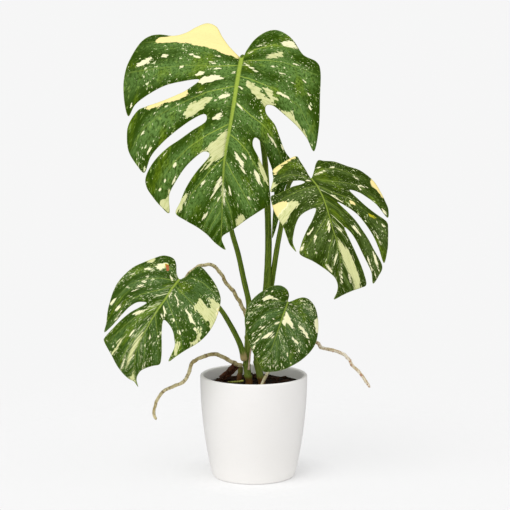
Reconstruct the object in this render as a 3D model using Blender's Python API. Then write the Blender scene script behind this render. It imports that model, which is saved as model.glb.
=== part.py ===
"""Potted monstera: four variegated leaves and a rolled new one on two stems, in a plain tapered pot.

Metres, +Z up. The origin is the centre of the pot's flat underside, and the front of the plant
faces -Y. Every point of the plant is measured from the middle of the soil's surface, so the plant
follows the pot. Outlines and routes are written in millimetres and turned into metres by MM.
"""

import math

import bpy
import numpy as np
from mathutils import Vector
from mathutils.geometry import delaunay_2d_cdt

MM = 0.001

# Pot: its walls narrow towards the foot along a parabola.
POT_TOP_RADIUS = 0.070
POT_HEIGHT = 0.134
POT_NARROWING = 0.0157
POT_WALL = 0.0048
POT_FLOOR = 0.007
POT_LIP_RADIUS = 0.0018
POT_FOOT_RADIUS = 0.0022
POT_SIDES = 48
POT_WALL_ROWS = 5

# Potting soil and the bark on it.
SOIL_BELOW_RIM = 0.014
SOIL_RELIEF = 0.0016
SOIL_RINGS = 6
SOIL_SIDES = 36
CHIP_COUNT = 7
CHIP_LENGTH = 0.013
CHIP_WIDTH = 0.007
CHIP_THICKNESS = 0.0035
CHIP_RING_RADIUS = 0.043

# Leaves: length from the stalk's joint to the tip, and the thickness of a blade.
LEAF_1_LENGTH = 0.2435
LEAF_2_LENGTH = 0.1544
LEAF_3_LENGTH = 0.1454
LEAF_4_LENGTH = 0.0944
BLADE_THICKNESS = 0.0010
STALK_BEHIND_JOINT = 0.004

# Stems, leaf stalks and roots: radius at the lower end and at the upper end.
STEM_RADII = (0.0054, 0.0045)
STALK_1_RADII = (0.0050, 0.0028)
STALK_2_RADII = (0.0042, 0.0024)
STALK_3_RADII = (0.0039, 0.0023)
STALK_4_RADII = (0.0030, 0.0018)
NEW_STALK_RADII = (0.0038, 0.0030)
ROOT_RADII = (0.0025, 0.0014)
ROLLED_LEAF_RADIUS = 0.0066
ROLLED_LEAF_LENGTH = 0.132

# Clearances: between neighbours that touch, and above the uneven soil.
GAP = 0.0003
SOIL_CLEARANCE = 0.0006
ROOT_CLEAR_OF_RIM = 0.0085

# How finely curved shapes are cut into flat faces.
BLADE_EDGE_STEP = 0.0070
BLADE_INNER_STEP = 0.0150
TUBE_STEP = 0.0095
TUBE_SIDES = 8

SOIL_Z = POT_HEIGHT - SOIL_BELOW_RIM

# A blade lies in its own plane: u to its right and v from the stalk's joint down to the tip.
LEAF_1_OUTLINE = (
    # right shoulder and the long right margin
    (0, 0), (6, -11), (15, -26), (28, -38), (41, -43), (54, -40), (66, -31), (79, -14), (97, -7),
    (103, 6), (104, 40), (105, 79), (101, 110),
    # first cut on the right, in to its head and out again
    (90, 95), (77, 82), (58, 68), (44, 59), (35, 60), (36, 70), (48, 83), (56, 98), (65, 113),
    # the lobe that hangs behind the second leaf
    (77, 126), (76, 141), (70, 158), (67, 180), (65, 202), (60, 222), (58, 200), (57, 172),
    (54, 145),
    # second cut on the right
    (43, 122), (34, 108), (24, 102), (22, 112), (31, 127), (40, 143), (47, 160), (50, 182),
    # foot of the blade and its drawn-out tip
    (41, 190), (23, 204), (7, 218), (-6, 229), (0, 243.5), (-13, 237), (-25, 227), (-38, 219),
    (-53, 212), (-66, 204),
    # third cut on the left
    (-62, 190), (-56, 171), (-46, 152), (-31, 130), (-37, 125), (-46, 131), (-59, 146),
    (-69, 164), (-76, 182), (-74, 204),
    # lower left lobe
    (-85, 197), (-96, 186), (-105, 174), (-107, 161),
    # second cut on the left
    (-99, 142), (-85, 125), (-69, 112), (-55, 100), (-39, 87), (-41, 78), (-56, 86), (-77, 104),
    (-92, 120), (-103, 136), (-109, 156),
    # middle left lobe
    (-119, 148), (-131, 131), (-135, 112), (-134, 96),
    # first cut on the left
    (-125, 79), (-115, 73), (-96, 65), (-78, 56), (-65, 48), (-51, 34), (-73, 38), (-94, 45),
    (-114, 58), (-128, 71), (-135, 86),
    # upper left lobe and left shoulder
    (-141, 72), (-145, 47), (-144, 26), (-139, 9), (-129, -11), (-118, -21), (-105, -24),
    (-87, -23), (-72, -28), (-59, -37), (-46, -43), (-34, -39), (-26, -26), (-15, -12),
)
LEAF_2_OUTLINE = (
    # upper right lobe
    (0, 0), (6, -9), (10, -17), (15, -22), (22, -20), (35, -17), (50, -9), (66, -1), (80, 14),
    (86, 28), (90, 42), (92, 54), (88, 64),
    # first cut on the right
    (77, 46), (66, 35), (56, 27), (45, 23), (54, 36), (63, 47), (73, 57), (86, 69),
    # second lobe on the right
    (86, 79), (83, 93), (80, 104), (72, 120),
    # second cut on the right
    (68, 101), (64, 86), (57, 70), (48, 55), (37, 44), (26, 36), (36, 50), (44, 62), (50, 74),
    (56, 87), (61, 101), (69, 123),
    # third lobe on the right
    (62, 135), (53, 143),
    # third cut on the right
    (53, 129), (49, 116), (45, 104), (40, 88), (35, 77), (28, 69), (32, 86), (36, 100),
    (40, 115), (43, 129), (44, 143),
    # foot and tip
    (36, 146), (24, 148), (12, 151), (0, 154.4), (5, 146), (7, 138), (5, 129), (-2, 120),
    (-10, 112), (-19, 104), (-33, 93),
    # wide cut on the left
    (-30, 82), (-25, 73), (-18, 63), (-10, 53), (-3, 40), (-14, 41), (-24, 46), (-31, 55),
    (-36, 66), (-39, 77), (-37, 89),
    # lower left lobe
    (-43, 79), (-45, 68), (-47, 55), (-51, 44), (-54, 32), (-54, 15),
    # upper cut on the left
    (-46, 13), (-35, 10), (-25, 7), (-15, 6), (-9, 4), (-14, 1), (-22, 0), (-37, -1), (-43, 2),
    (-47, 9),
    # upper left lobe
    (-53, 8), (-50, 1), (-46, -8), (-44, -19), (-31, -26), (-12, -32), (-8, -24), (-4, -12),
)
LEAF_3_OUTLINE = (
    # left half
    (0, 0), (-6, -6), (-11, -16), (-17, -22), (-25, -23), (-33, -21), (-42, -14), (-52, -5),
    (-62, 5), (-69, 17), (-74, 31), (-75, 44), (-74, 57), (-72, 70), (-68, 84), (-66, 96),
    # cut on the left
    (-60, 87), (-56, 78), (-52, 68), (-46, 55), (-38, 46), (-27, 43), (-34, 52), (-42, 61),
    (-49, 72), (-55, 84), (-63, 102),
    # foot and tip
    (-62, 107), (-54, 114), (-45, 121), (-36, 129), (-25, 136), (-15, 140), (-7, 141),
    (0, 145.4), (-5, 137), (-4, 127), (2, 120), (10, 114), (17, 109),
    # cut on the right
    (15, 97), (10, 83), (5, 70), (2, 56), (11, 59), (18, 65), (23, 73), (27, 83), (26, 102),
    # right half
    (33, 93), (41, 82), (50, 71), (56, 61), (60, 50), (62, 38), (62, 26), (59, 8), (52, -3),
    (42, -12), (31, -19), (21, -24), (15, -23), (10, -14), (6, -4),
)
LEAF_4_OUTLINE = (
    (0, 0), (-1, -8), (-6, -14), (-15, -16), (-25, -12), (-33, -4), (-41, 7), (-46, 19),
    (-47, 30), (-45, 41), (-40, 52), (-33, 63), (-24, 74), (-14, 83), (-5, 90), (0, 94.4),
    (11, 91), (23, 84), (34, 74), (43, 63), (50, 50), (53, 37), (51, 23), (46, 9), (38, -4),
    (28, -11), (19, -12), (11, -8), (4, -2),
)

# The lobe of leaf 1 that steps back behind leaf 2, bounded by the cuts on either side of it.
LEAF_1_BACK_LOBE = {
    "region": ((24, 106), (35, 65), (60, 82), (78, 106), (120, 150), (90, 240), (54, 240),
               (54, 188), (48, 148), (34, 116)),
    "root": (28, 84),
    "run": (0.26, 0.966),
    "step_back": 30,
    "reach": 45,
}


def leaf(outline, length, joint, towards, roll, bow, droop, lobe=None):
    """A blade's design: its joint, the way it hangs, and how far it bows and droops, in mm."""
    return {
        "outline": outline,
        "length": length,
        "joint": joint,
        "towards": towards,
        "roll": math.radians(roll),
        "bow": bow,
        "droop": droop,
        "lobe": lobe,
    }


LEAVES = {
    "leaf_1": leaf(LEAF_1_OUTLINE, LEAF_1_LENGTH, (-15.2, -25, 425.1), (-20, -45, -238.5),
                   4, 19.2, 23.6, LEAF_1_BACK_LOBE),
    "leaf_2": leaf(LEAF_2_OUTLINE, LEAF_2_LENGTH, (71.7, -65, 276.1), (27.9, -35, -147.8),
                   10, 10.9, 14.6),
    "leaf_3": leaf(LEAF_3_OUTLINE, LEAF_3_LENGTH, (-94.2, -55, 147.6), (-51, -30, -132.9),
                   -12, 9.5, 11.6),
    "leaf_4": leaf(LEAF_4_OUTLINE, LEAF_4_LENGTH, (44.1, -45, 117.1), (-31.6, -17, -87.3),
                   8, 5.5, 7.7),
}

# Routes from the soil's middle upwards. A stalk's route leaves out its end at the blade.
STEM_LEFT_ROUTE = ((-6, -6), (-6, -6, 6), (-7.6, -6, 15), (-9.4, -5, 31), (-8.1, -4, 47),
                   (-6.1, 0, 85))
STEM_RIGHT_ROUTE = ((10.5, -5), (10.5, -5, 5), (8.2, -4.4, 14), (4.3, -2, 33), (6.9, 0, 59),
                    (10, 2, 80))
STALK_1_ROUTE = ((10.2, 2.2, 81), (13, 3, 104), (16.7, 3, 125), (19, 8, 170), (19, 10, 202),
                 (17, 10, 255), (13, 5, 307), (4, 2, 355), (-5, 0, 395), (-11, -4, 418),
                 (-14, -12, 426))
STALK_2_ROUTE = ((12, 12.5, 71), (16, 14, 95), (19.5, 14, 115), (23, 12, 130), (30.5, 5, 180),
                 (38, -1, 222), (41, -7, 246), (46, -16, 266), (55, -30, 278), (64, -45, 280))
STALK_3_ROUTE = ((-12, -14.4, 34), (-15, -15.5, 48), (-20, -17, 62), (-31, -25, 85),
                 (-44, -34, 107), (-68, -44, 133), (-84, -47, 146))
STALK_4_ROUTE = ((7, -10.5, 46), (14, -14, 62), (24, -19, 84), (34, -25, 104), (41, -32, 116))
NEW_STALK_ROUTE = ((-6, 0.6, 86.3), (-6, 2, 100), (-7, 4, 112), (-13, 8, 138), (-20, 12, 170),
                   (-28.3, 15, 199), (-35, 17, 232), (-38, 17, 252))
ROOT_LEFT_ROUTE = ((-15.6, -6, 27), (-23, -12, 30), (-51, -22, 44))
# The rest of the left root: outside the rim, y, and above the rim.
ROOT_LEFT_FALL = ((-1, -30, 22), (4, -32, 10), (10, -35, -1), (37, -38, -15), (46, -40, -27),
                  (50, -40, -42), (47, -40, -52))
ROOT_ARCHING_ROUTE = ((-7.5, -8.8, 76), (-8.6, -9, 86), (-11.5, -9, 97), (-23, -10, 120),
                      (-34, -11, 134), (-46, -12, 153), (-56, -14, 160), (-63, -16, 160),
                      (-72, -18, 158), (-83, -20, 149), (-93, -22, 136), (-99, -24, 121))
ROOT_RIGHT_ROUTE = ((13.8, 0.5, 58), (22, 2, 61), (38, 2, 67), (60, 0, 70), (82, -5, 57),
                    (90, -5, 49), (103, -8, 47), (120, -10, 40), (129, -12, 28), (141, -14, 15),
                    (151, -16, -1))
ROOT_WHITE_ROUTE = ((21, -22, 24), (15, -30, 16), (10, -38, 7), (7, -46, 2.6))
ROOT_GREEN_ROUTE = ((-13, -14, 8), (-20, -10, 6), (-27, -8, 5), (-34, -5, 4.5))
OLD_STALK_ROUTE = ((-19, 1, 5), (-18, 0, 14), (-16.2, -1, 24))
DRY_SHEATH_ROUTE = ((-22, 8, 24), (-28, 9, 17), (-35, 11, 10), (-43, 13, 4))
PALE_SHEATH_ROUTE = ((-6.5, -13, 22), (-5.5, -12.7, 34), (-4, -12, 46), (-2, -11.2, 58))


def clear_scene():
    for old in list(bpy.data.objects):
        bpy.data.objects.remove(old)


def material(name, color, roughness):
    made = bpy.data.materials.new(name)
    made.use_nodes = True
    shader = made.node_tree.nodes["Principled BSDF"]
    shader.inputs["Base Color"].default_value = (*color, 1.0)
    shader.inputs["Roughness"].default_value = roughness
    shader.inputs["Metallic"].default_value = 0.0
    return made


def add_object(name, points, faces, finish, smooth=True):
    mesh = bpy.data.meshes.new(name)
    mesh.from_pydata([tuple(point) for point in points], [], faces)
    mesh.validate()
    if smooth:
        mesh.shade_smooth()
    mesh.materials.append(finish)
    made = bpy.data.objects.new(name, mesh)
    bpy.context.scene.collection.objects.link(made)
    return made


def curve_point(p0, p1, p2, p3, t):
    """A Catmull-Rom curve from p1 to p2."""
    return 0.5 * (2 * p1 + (p2 - p0) * t + (2 * p0 - 5 * p1 + 4 * p2 - p3) * t * t
                  + (3 * p1 - p0 - 3 * p2 + p3) * t**3)


def smooth_route(points, step, closed=False):
    """Points about one step apart along the smooth curve through the given points."""
    given = [np.array(point, float) for point in points]
    if closed:
        padded = [given[-1], *given, given[0], given[1]]
    else:
        padded = [2 * given[0] - given[1], *given, 2 * given[-1] - given[-2]]
    route = []
    for p0, p1, p2, p3 in zip(padded, padded[1:], padded[2:], padded[3:]):
        parts = max(1, round(float(np.linalg.norm(p2 - p1)) / step))
        route += [curve_point(p0, p1, p2, p3, part / parts) for part in range(parts)]
    if not closed:
        route.append(given[-1])
    return route


def turned(name, profile, sides, finish):
    """A closed solid of revolution. The profile starts and ends on the axis and runs upwards inside."""
    points = []
    rings = []
    for radius, height in profile:
        if radius == 0:
            rings.append([len(points)])
            points.append((0, 0, height))
            continue
        rings.append(range(len(points), len(points) + sides))
        for side in range(sides):
            angle = math.tau * side / sides
            points.append((radius * math.cos(angle), radius * math.sin(angle), height))
    faces = []
    for low, high in zip(rings, rings[1:]):
        for side in range(sides):
            after = (side + 1) % sides
            if len(low) == 1:
                faces.append((low[0], high[after], high[side]))
            elif len(high) == 1:
                faces.append((low[side], low[after], high[0]))
            else:
                faces.append((low[side], low[after], high[after], high[side]))
    return add_object(name, points, faces, finish)


def pot_radius(height):
    """The outer radius of the pot at a height above the floor."""
    depth = (POT_HEIGHT - height) / POT_HEIGHT
    return POT_TOP_RADIUS - POT_NARROWING * depth**2


def make_pot(finish):
    lip = POT_LIP_RADIUS
    profile = [(0, 0), (pot_radius(0) - POT_FOOT_RADIUS, 0)]
    for row in range(POT_WALL_ROWS + 1):
        height = POT_FOOT_RADIUS + (POT_HEIGHT - lip - POT_FOOT_RADIUS) * row / POT_WALL_ROWS
        profile.append((pot_radius(height), height))
    profile.append((POT_TOP_RADIUS - lip, POT_HEIGHT))
    profile.append((POT_TOP_RADIUS - POT_WALL + lip, POT_HEIGHT))
    for row in range(POT_WALL_ROWS, -1, -1):
        height = POT_FLOOR + (POT_HEIGHT - lip - POT_FLOOR) * row / POT_WALL_ROWS
        profile.append((pot_radius(height) - POT_WALL, height))
    profile.append((0, POT_FLOOR))
    return turned("pot", profile, POT_SIDES, finish)


def soil_height(x, y):
    """The uneven top of the soil, level in the middle where the stems stand."""
    away = min(1.0, math.hypot(x, y) / (POT_TOP_RADIUS - POT_WALL))
    waves = math.sin(x * 170 + 1.3) * math.cos(y * 150 - 0.4) + math.sin((x - y) * 95)
    return SOIL_Z + 0.5 * SOIL_RELIEF * waves * away


def make_soil(finish):
    wall_gap = POT_WALL + 2 * GAP
    profile = [(0, POT_FLOOR + GAP)]
    for row in range(POT_WALL_ROWS + 1):
        height = POT_FLOOR + GAP + (SOIL_Z - SOIL_RELIEF - POT_FLOOR) * row / (POT_WALL_ROWS + 1)
        profile.append((pot_radius(height) - wall_gap, height))
    edge = pot_radius(SOIL_Z) - wall_gap
    profile += [(edge * ring / SOIL_RINGS, SOIL_Z) for ring in range(SOIL_RINGS, -1, -1)]
    soil = turned("potting_soil", profile, SOIL_SIDES, finish)
    for vertex in soil.data.vertices:
        if vertex.co.z > SOIL_Z - SOIL_RELIEF:
            vertex.co.z = soil_height(vertex.co.x, vertex.co.y)
    return soil


def make_bark_chip(number, finish):
    """A rough wedge of bark with cut corners, lying just above the soil near the rim."""
    angle = math.tau * (number * 0.381966 + 0.12)
    centre_x = CHIP_RING_RADIUS * math.cos(angle)
    centre_y = CHIP_RING_RADIUS * math.sin(angle)
    turn = angle * 2.3
    size = 0.8 + 0.4 * math.sin(number * 2.4) ** 2
    outline = [(0.5, 0.1), (0.32, 0.45), (-0.2, 0.5), (-0.5, 0.2), (-0.42, -0.4), (0.3, -0.5)]
    floor_z = SOIL_Z + SOIL_RELIEF + GAP
    points = []
    for level, spread in ((0, 0.85), (0.55, 1.0), (1, 0.7)):
        for across, along in outline:
            x = across * spread * CHIP_LENGTH * size
            y = along * spread * CHIP_WIDTH * size
            points.append((
                centre_x + x * math.cos(turn) - y * math.sin(turn),
                centre_y + x * math.sin(turn) + y * math.cos(turn),
                floor_z + level * CHIP_THICKNESS,
            ))
    corners = len(outline)
    faces = [tuple(reversed(range(corners))), tuple(range(2 * corners, 3 * corners))]
    for row in (0, corners):
        for corner in range(corners):
            after = (corner + 1) % corners
            faces.append((row + corner, row + after, row + corners + after, row + corners + corner))
    return add_object(f"bark_chip_{number + 1}", points, faces, finish, smooth=False)


def leaf_axes(design):
    """The joint in metres, and unit vectors across, along and out of the blade."""
    joint = Vector(design["joint"]) * MM + Vector((0, 0, SOIL_Z))
    along = Vector(design["towards"]).normalized()
    out = Vector((0, -1, 0))
    out = (out - out.dot(along) * along).normalized()
    out = out * math.cos(design["roll"]) - along.cross(out) * math.sin(design["roll"])
    return joint, out.cross(along), along, out


def inside(point, corners):
    """Whether a 2-D point is inside a polygon."""
    x, y = point
    found = False
    for (x0, y0), (x1, y1) in zip(corners, (*corners[1:], corners[0])):
        if (y0 > y) != (y1 > y) and x < x0 + (x1 - x0) * (y - y0) / (y1 - y0):
            found = not found
    return found


def blade_height(design, u, v):
    """How far the blade stands forward of its own plane, in mm of the outline as it is written."""
    tip = max(point[1] for point in design["outline"])
    height = 4 * design["bow"] * v * (tip - v) / tip**2 - 4 * design["droop"] * (u / tip) ** 2
    lobe = design["lobe"]
    if lobe and inside((u, v), lobe["region"]):
        run = (u - lobe["root"][0]) * lobe["run"][0] + (v - lobe["root"][1]) * lobe["run"][1]
        height -= lobe["step_back"] * (1 - math.exp(-((max(0.0, run) / lobe["reach"]) ** 2)))
    return height


def blade_point(design, u, v, forward):
    """A point of the blade in metres. Forward is measured out of the blade, in metres."""
    joint, across, along, out = leaf_axes(design)
    scale = design["length"] / max(point[1] for point in design["outline"])
    height = blade_height(design, u, v) * scale
    return joint + across * u * scale + along * v * scale + out * (height + forward)


def make_blade(name, design, finish):
    """A thin closed blade: its outline filled with triangles, in two skins joined by the margin."""
    scale = design["length"] / max(point[1] for point in design["outline"])
    margin = smooth_route(design["outline"], BLADE_EDGE_STEP / scale, closed=True)
    step = BLADE_INNER_STEP / scale
    low = np.min(margin, axis=0)
    high = np.max(margin, axis=0)
    flat = [Vector(point) for point in margin]
    row = 0
    v = low[1]
    while v < high[1]:
        u = low[0] + 0.5 * step * (row % 2)
        while u < high[0]:
            nearest = min(math.hypot(u - point[0], v - point[1]) for point in margin)
            if nearest > 0.5 * step and inside((u, v), margin):
                flat.append(Vector((u, v)))
            u += step
        row += 1
        v += step * math.sin(math.radians(60))
    border = [(corner, (corner + 1) % len(margin)) for corner in range(len(margin))]
    flat, _, cells, *_ = delaunay_2d_cdt(flat, border, [], 1, 1e-5)
    half = BLADE_THICKNESS / 2
    points = [blade_point(design, *point, half) for point in flat]
    points += [blade_point(design, *point, -half) for point in flat]
    count = len(flat)
    faces = []
    for a, b, c in cells:
        turn = (flat[b] - flat[a]).cross(flat[c] - flat[a])
        if turn > 0:
            b, c = c, b
        faces += [(a, b, c), (a + count, c + count, b + count)]
    used = {}
    for face in faces[::2]:
        for start, end in zip(face, (*face[1:], face[0])):
            used[(start, end)] = True
    for start, end in used:
        if (end, start) not in used:
            faces.append((end, start, start + count, end + count))
    return add_object(name, points, faces, finish)


def route_in_plant(route):
    """A route in metres from points in mm about the soil's middle. A point with no height
    stands just above the soil."""
    made = []
    for point in route:
        if len(point) == 2:
            made.append((point[0] * MM, point[1] * MM, SOIL_Z + SOIL_CLEARANCE))
        else:
            made.append((point[0] * MM, point[1] * MM, SOIL_Z + point[2] * MM))
    return made


def tube(name, route, radius_at, finish, sides=TUBE_SIDES, flatten=1.0):
    """A closed tube along a smooth route. radius_at gives the radius from 0 at its start to 1."""
    line = [Vector(point) for point in smooth_route(route, TUBE_STEP)]
    points = []
    side_way = None
    for index, centre in enumerate(line):
        before = line[max(0, index - 1)]
        after = line[min(len(line) - 1, index + 1)]
        ahead = (after - before).normalized()
        if side_way is None:
            side_way = ahead.orthogonal()
        side_way = (side_way - side_way.dot(ahead) * ahead).normalized()
        other = ahead.cross(side_way)
        radius = radius_at(index / (len(line) - 1))
        for side in range(sides):
            angle = math.tau * side / sides
            offset = side_way * math.cos(angle) + other * math.sin(angle) * flatten
            points.append(centre + offset * radius)
    faces = [tuple(reversed(range(sides))), tuple(range(len(points) - sides, len(points)))]
    for ring in range(len(line) - 1):
        for side in range(sides):
            low = ring * sides
            after = (side + 1) % sides
            faces.append((low + side, low + after, low + sides + after, low + sides + side))
    return add_object(name, points, faces, finish)


def taper(radii):
    """A radius that goes evenly from the first value to the second."""
    return lambda t: radii[0] + (radii[1] - radii[0]) * t


def make_stalk(name, route, radii, design, finish):
    """A leaf stalk that rises from its stem and meets the back of its blade at the joint."""
    clear = BLADE_THICKNESS / 2 + GAP + radii[1]
    end = blade_point(design, 0, STALK_BEHIND_JOINT / MM, -clear)
    return tube(name, [*route_in_plant(route), tuple(end)], taper(radii), finish)


def make_rolled_leaf(finish):
    """The newest leaf, still rolled into a spindle on top of its own stalk."""
    foot = Vector(route_in_plant(NEW_STALK_ROUTE)[-1]) + Vector((0, 0, 2 * GAP))
    lean = Vector((0.02, -0.02, 1)).normalized()
    route = [foot + lean * ROLLED_LEAF_LENGTH * part / 4 for part in range(5)]

    def radius(t):
        return NEW_STALK_RADII[1] * (1 - t) + ROLLED_LEAF_RADIUS * math.sin(math.pi * t**0.8) ** 0.9

    return tube("new_leaf_rolled", route, lambda t: max(0.0008, radius(t)), finish)


def root_left_route():
    """Out over the left of the rim, then down outside the pot, clear of its wall."""
    edge = POT_TOP_RADIUS / MM + ROOT_CLEAR_OF_RIM / MM
    rim = SOIL_BELOW_RIM / MM
    fall = [(-(edge + out), y, rim + above) for out, y, above in ROOT_LEFT_FALL]
    return route_in_plant((*ROOT_LEFT_ROUTE, *fall))


def make_roots(finish, pale, green):
    tube("aerial_root_left", root_left_route(), taper(ROOT_RADII), finish)
    tube("aerial_root_arching", route_in_plant(ROOT_ARCHING_ROUTE), taper(ROOT_RADII), finish)
    tube("aerial_root_right", route_in_plant(ROOT_RIGHT_ROUTE), taper(ROOT_RADII), finish)
    tube("soil_root_white", route_in_plant(ROOT_WHITE_ROUTE), taper((0.0020, 0.0017)), pale)
    tube("soil_root_green", route_in_plant(ROOT_GREEN_ROUTE), taper((0.0014, 0.0010)), green)


def main():
    clear_scene()
    ceramic = material("white_ceramic", (0.80, 0.79, 0.76), 0.45)
    soil = material("potting_mix", (0.035, 0.024, 0.017), 0.95)
    bark = material("bark", (0.10, 0.055, 0.03), 0.9)
    blade = material("variegated_blade", (0.07, 0.17, 0.045), 0.45)
    stalk = material("green_stalk", (0.10, 0.17, 0.03), 0.5)
    root = material("aerial_root", (0.42, 0.36, 0.20), 0.8)
    pale = material("young_root", (0.70, 0.66, 0.50), 0.7)
    dry = material("dry_sheath", (0.20, 0.10, 0.05), 0.85)

    make_pot(ceramic)
    make_soil(soil)
    for number in range(CHIP_COUNT):
        make_bark_chip(number, bark)
    tube("stem_left", route_in_plant(STEM_LEFT_ROUTE), taper(STEM_RADII), stalk, sides=10)
    tube("stem_right", route_in_plant(STEM_RIGHT_ROUTE), taper(STEM_RADII), stalk, sides=10)
    make_stalk("stalk_leaf_1", STALK_1_ROUTE, STALK_1_RADII, LEAVES["leaf_1"], stalk)
    make_stalk("stalk_leaf_2", STALK_2_ROUTE, STALK_2_RADII, LEAVES["leaf_2"], stalk)
    make_stalk("stalk_leaf_3", STALK_3_ROUTE, STALK_3_RADII, LEAVES["leaf_3"], stalk)
    make_stalk("stalk_leaf_4", STALK_4_ROUTE, STALK_4_RADII, LEAVES["leaf_4"], stalk)
    tube("stalk_new_leaf", route_in_plant(NEW_STALK_ROUTE), taper(NEW_STALK_RADII), stalk)
    make_rolled_leaf(stalk)
    for name, design in LEAVES.items():
        make_blade(name, design, blade)
    make_roots(root, pale, stalk)
    tube("old_stalk_stub", route_in_plant(OLD_STALK_ROUTE), taper((0.0034, 0.0030)), stalk)
    tube("dry_sheath", route_in_plant(DRY_SHEATH_ROUTE), taper((0.0036, 0.0020)), dry, flatten=0.45)
    tube("pale_sheath", route_in_plant(PALE_SHEATH_ROUTE), taper((0.0016, 0.0007)), pale, flatten=0.6)


main()
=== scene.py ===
"""Finished look of the potted monstera, laid out as an add-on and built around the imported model.

Metres and +Z up, with the origin at the centre of the pot's underside and the plant facing -Y.
Outlines, veins and routes are written in millimetres. Blade coordinates run u to the blade's
right and v from the stalk's joint down to the tip, both in the blade's own plane.
"""

import math

import bpy
import numpy as np
from bpy.props import FloatProperty, FloatVectorProperty, IntProperty, PointerProperty
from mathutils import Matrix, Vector
from mathutils.geometry import delaunay_2d_cdt


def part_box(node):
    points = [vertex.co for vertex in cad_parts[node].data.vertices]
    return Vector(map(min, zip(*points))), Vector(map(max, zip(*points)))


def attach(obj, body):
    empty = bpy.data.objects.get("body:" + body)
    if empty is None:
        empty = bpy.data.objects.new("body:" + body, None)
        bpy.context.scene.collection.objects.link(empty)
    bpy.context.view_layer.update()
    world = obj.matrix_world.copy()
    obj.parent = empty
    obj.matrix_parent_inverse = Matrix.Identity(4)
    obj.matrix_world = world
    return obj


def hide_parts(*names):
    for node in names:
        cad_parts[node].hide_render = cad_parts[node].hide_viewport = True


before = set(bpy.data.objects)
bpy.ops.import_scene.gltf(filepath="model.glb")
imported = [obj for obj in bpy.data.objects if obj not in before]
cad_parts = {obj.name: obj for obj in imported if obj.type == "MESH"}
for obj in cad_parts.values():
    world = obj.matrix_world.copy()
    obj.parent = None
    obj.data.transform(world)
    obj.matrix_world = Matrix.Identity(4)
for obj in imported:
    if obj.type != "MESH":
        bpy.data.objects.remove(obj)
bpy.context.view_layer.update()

bl_info = {
    "name": "Potted monstera",
    "version": (1, 0, 0),
    "blender": (4, 5, 0),
    "location": "View3D > Sidebar > Monstera",
    "description": "Builds a variegated monstera in a satin pot around its packed model",
    "category": "Object",
}

MM = 0.001

# Pot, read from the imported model, with the shape of its wall.
POT_LOW, POT_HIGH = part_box("pot")
POT_HEIGHT = POT_HIGH[2]
POT_TOP_RADIUS = (POT_HIGH[0] - POT_LOW[0]) / 2
POT_NARROWING = 0.0157
POT_WALL = 0.0048
POT_FLOOR = 0.007
POT_LIP_RADIUS = 0.0020
POT_FOOT_RADIUS = 0.0024
POT_DISH = 0.0006
POT_DISH_RADIUS = 0.040
POT_STANDING_RADIUS = 0.0425

# Potting soil and bark.
SOIL_BELOW_RIM = 0.014
SOIL_Z = POT_HEIGHT - SOIL_BELOW_RIM
SOIL_EDGE_GAP = 0.0006
SOIL_FLOOR_GAP = 0.0003
CHIP_RING_RADIUS = 0.043
CHIP_LENGTH = 0.013
CHIP_WIDTH = 0.007
CHIP_THICKNESS = 0.0035
CHIP_NODES = sorted(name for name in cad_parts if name.startswith("bark_chip_"))

# Relief of the glaze, the soil and the bark.
GLAZE_RELIEF = 0.00003
SOIL_RELIEF = 0.0006
BARK_RELIEF = 0.0004

# Stems, leaf stalks and roots: radius at the lower end and at the upper end. A stalk also has a
# swollen foot, and a knee below its blade.
STEM_RADII = (0.0048, 0.0042)
NEW_STALK_RADII = (0.0038, 0.0030)
ROOT_RADII = (0.0027, 0.0019)
FOOT_SWELL = 0.16
FOOT_LENGTH = 0.014
KNEE_LENGTH = 0.011
ROLLED_LEAF_RADIUS = 0.0066
ROLLED_LEAF_LENGTH = 0.132
ROOT_CLEAR_OF_RIM = 0.0085
BLADE_THICKNESS = 0.0006

# Each blade's outline, from the joint round one side to the tip and back up the other.
LEAF_1_OUTLINE = (
    # right shoulder and the long right margin
    (0, 0), (6, -11), (15, -26), (28, -38), (41, -43), (54, -40), (66, -31), (79, -14), (97, -7),
    (103, 6), (104, 40), (105, 79), (101, 110),
    # first cut on the right, in to its head and out again
    (90, 95), (77, 82), (58, 68), (44, 59), (35, 60), (36, 70), (48, 83), (56, 98), (65, 113),
    # the lobe that hangs behind the second leaf
    (77, 126), (76, 141), (70, 158), (67, 180), (65, 202), (60, 222), (58, 200), (57, 172),
    (54, 145),
    # second cut on the right
    (43, 122), (34, 108), (24, 102), (22, 112), (31, 127), (40, 143), (47, 160), (50, 182),
    # foot of the blade and its drawn-out tip
    (41, 190), (23, 204), (7, 218), (-6, 229), (0, 243.5), (-13, 237), (-25, 227), (-38, 219),
    (-53, 212), (-66, 204),
    # third cut on the left
    (-62, 190), (-56, 171), (-46, 152), (-31, 130), (-37, 125), (-46, 131), (-59, 146),
    (-69, 164), (-76, 182), (-74, 204),
    # lower left lobe
    (-85, 197), (-96, 186), (-105, 174), (-107, 161),
    # second cut on the left
    (-99, 142), (-85, 125), (-69, 112), (-55, 100), (-39, 87), (-41, 78), (-56, 86), (-77, 104),
    (-92, 120), (-103, 136), (-109, 156),
    # middle left lobe
    (-119, 148), (-131, 131), (-135, 112), (-134, 96),
    # first cut on the left
    (-125, 79), (-115, 73), (-96, 65), (-78, 56), (-65, 48), (-51, 34), (-73, 38), (-94, 45),
    (-114, 58), (-128, 71), (-135, 86),
    # upper left lobe and left shoulder
    (-141, 72), (-145, 47), (-144, 26), (-139, 9), (-129, -11), (-118, -21), (-105, -24),
    (-87, -23), (-72, -28), (-59, -37), (-46, -43), (-34, -39), (-26, -26), (-15, -12),
)
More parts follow.
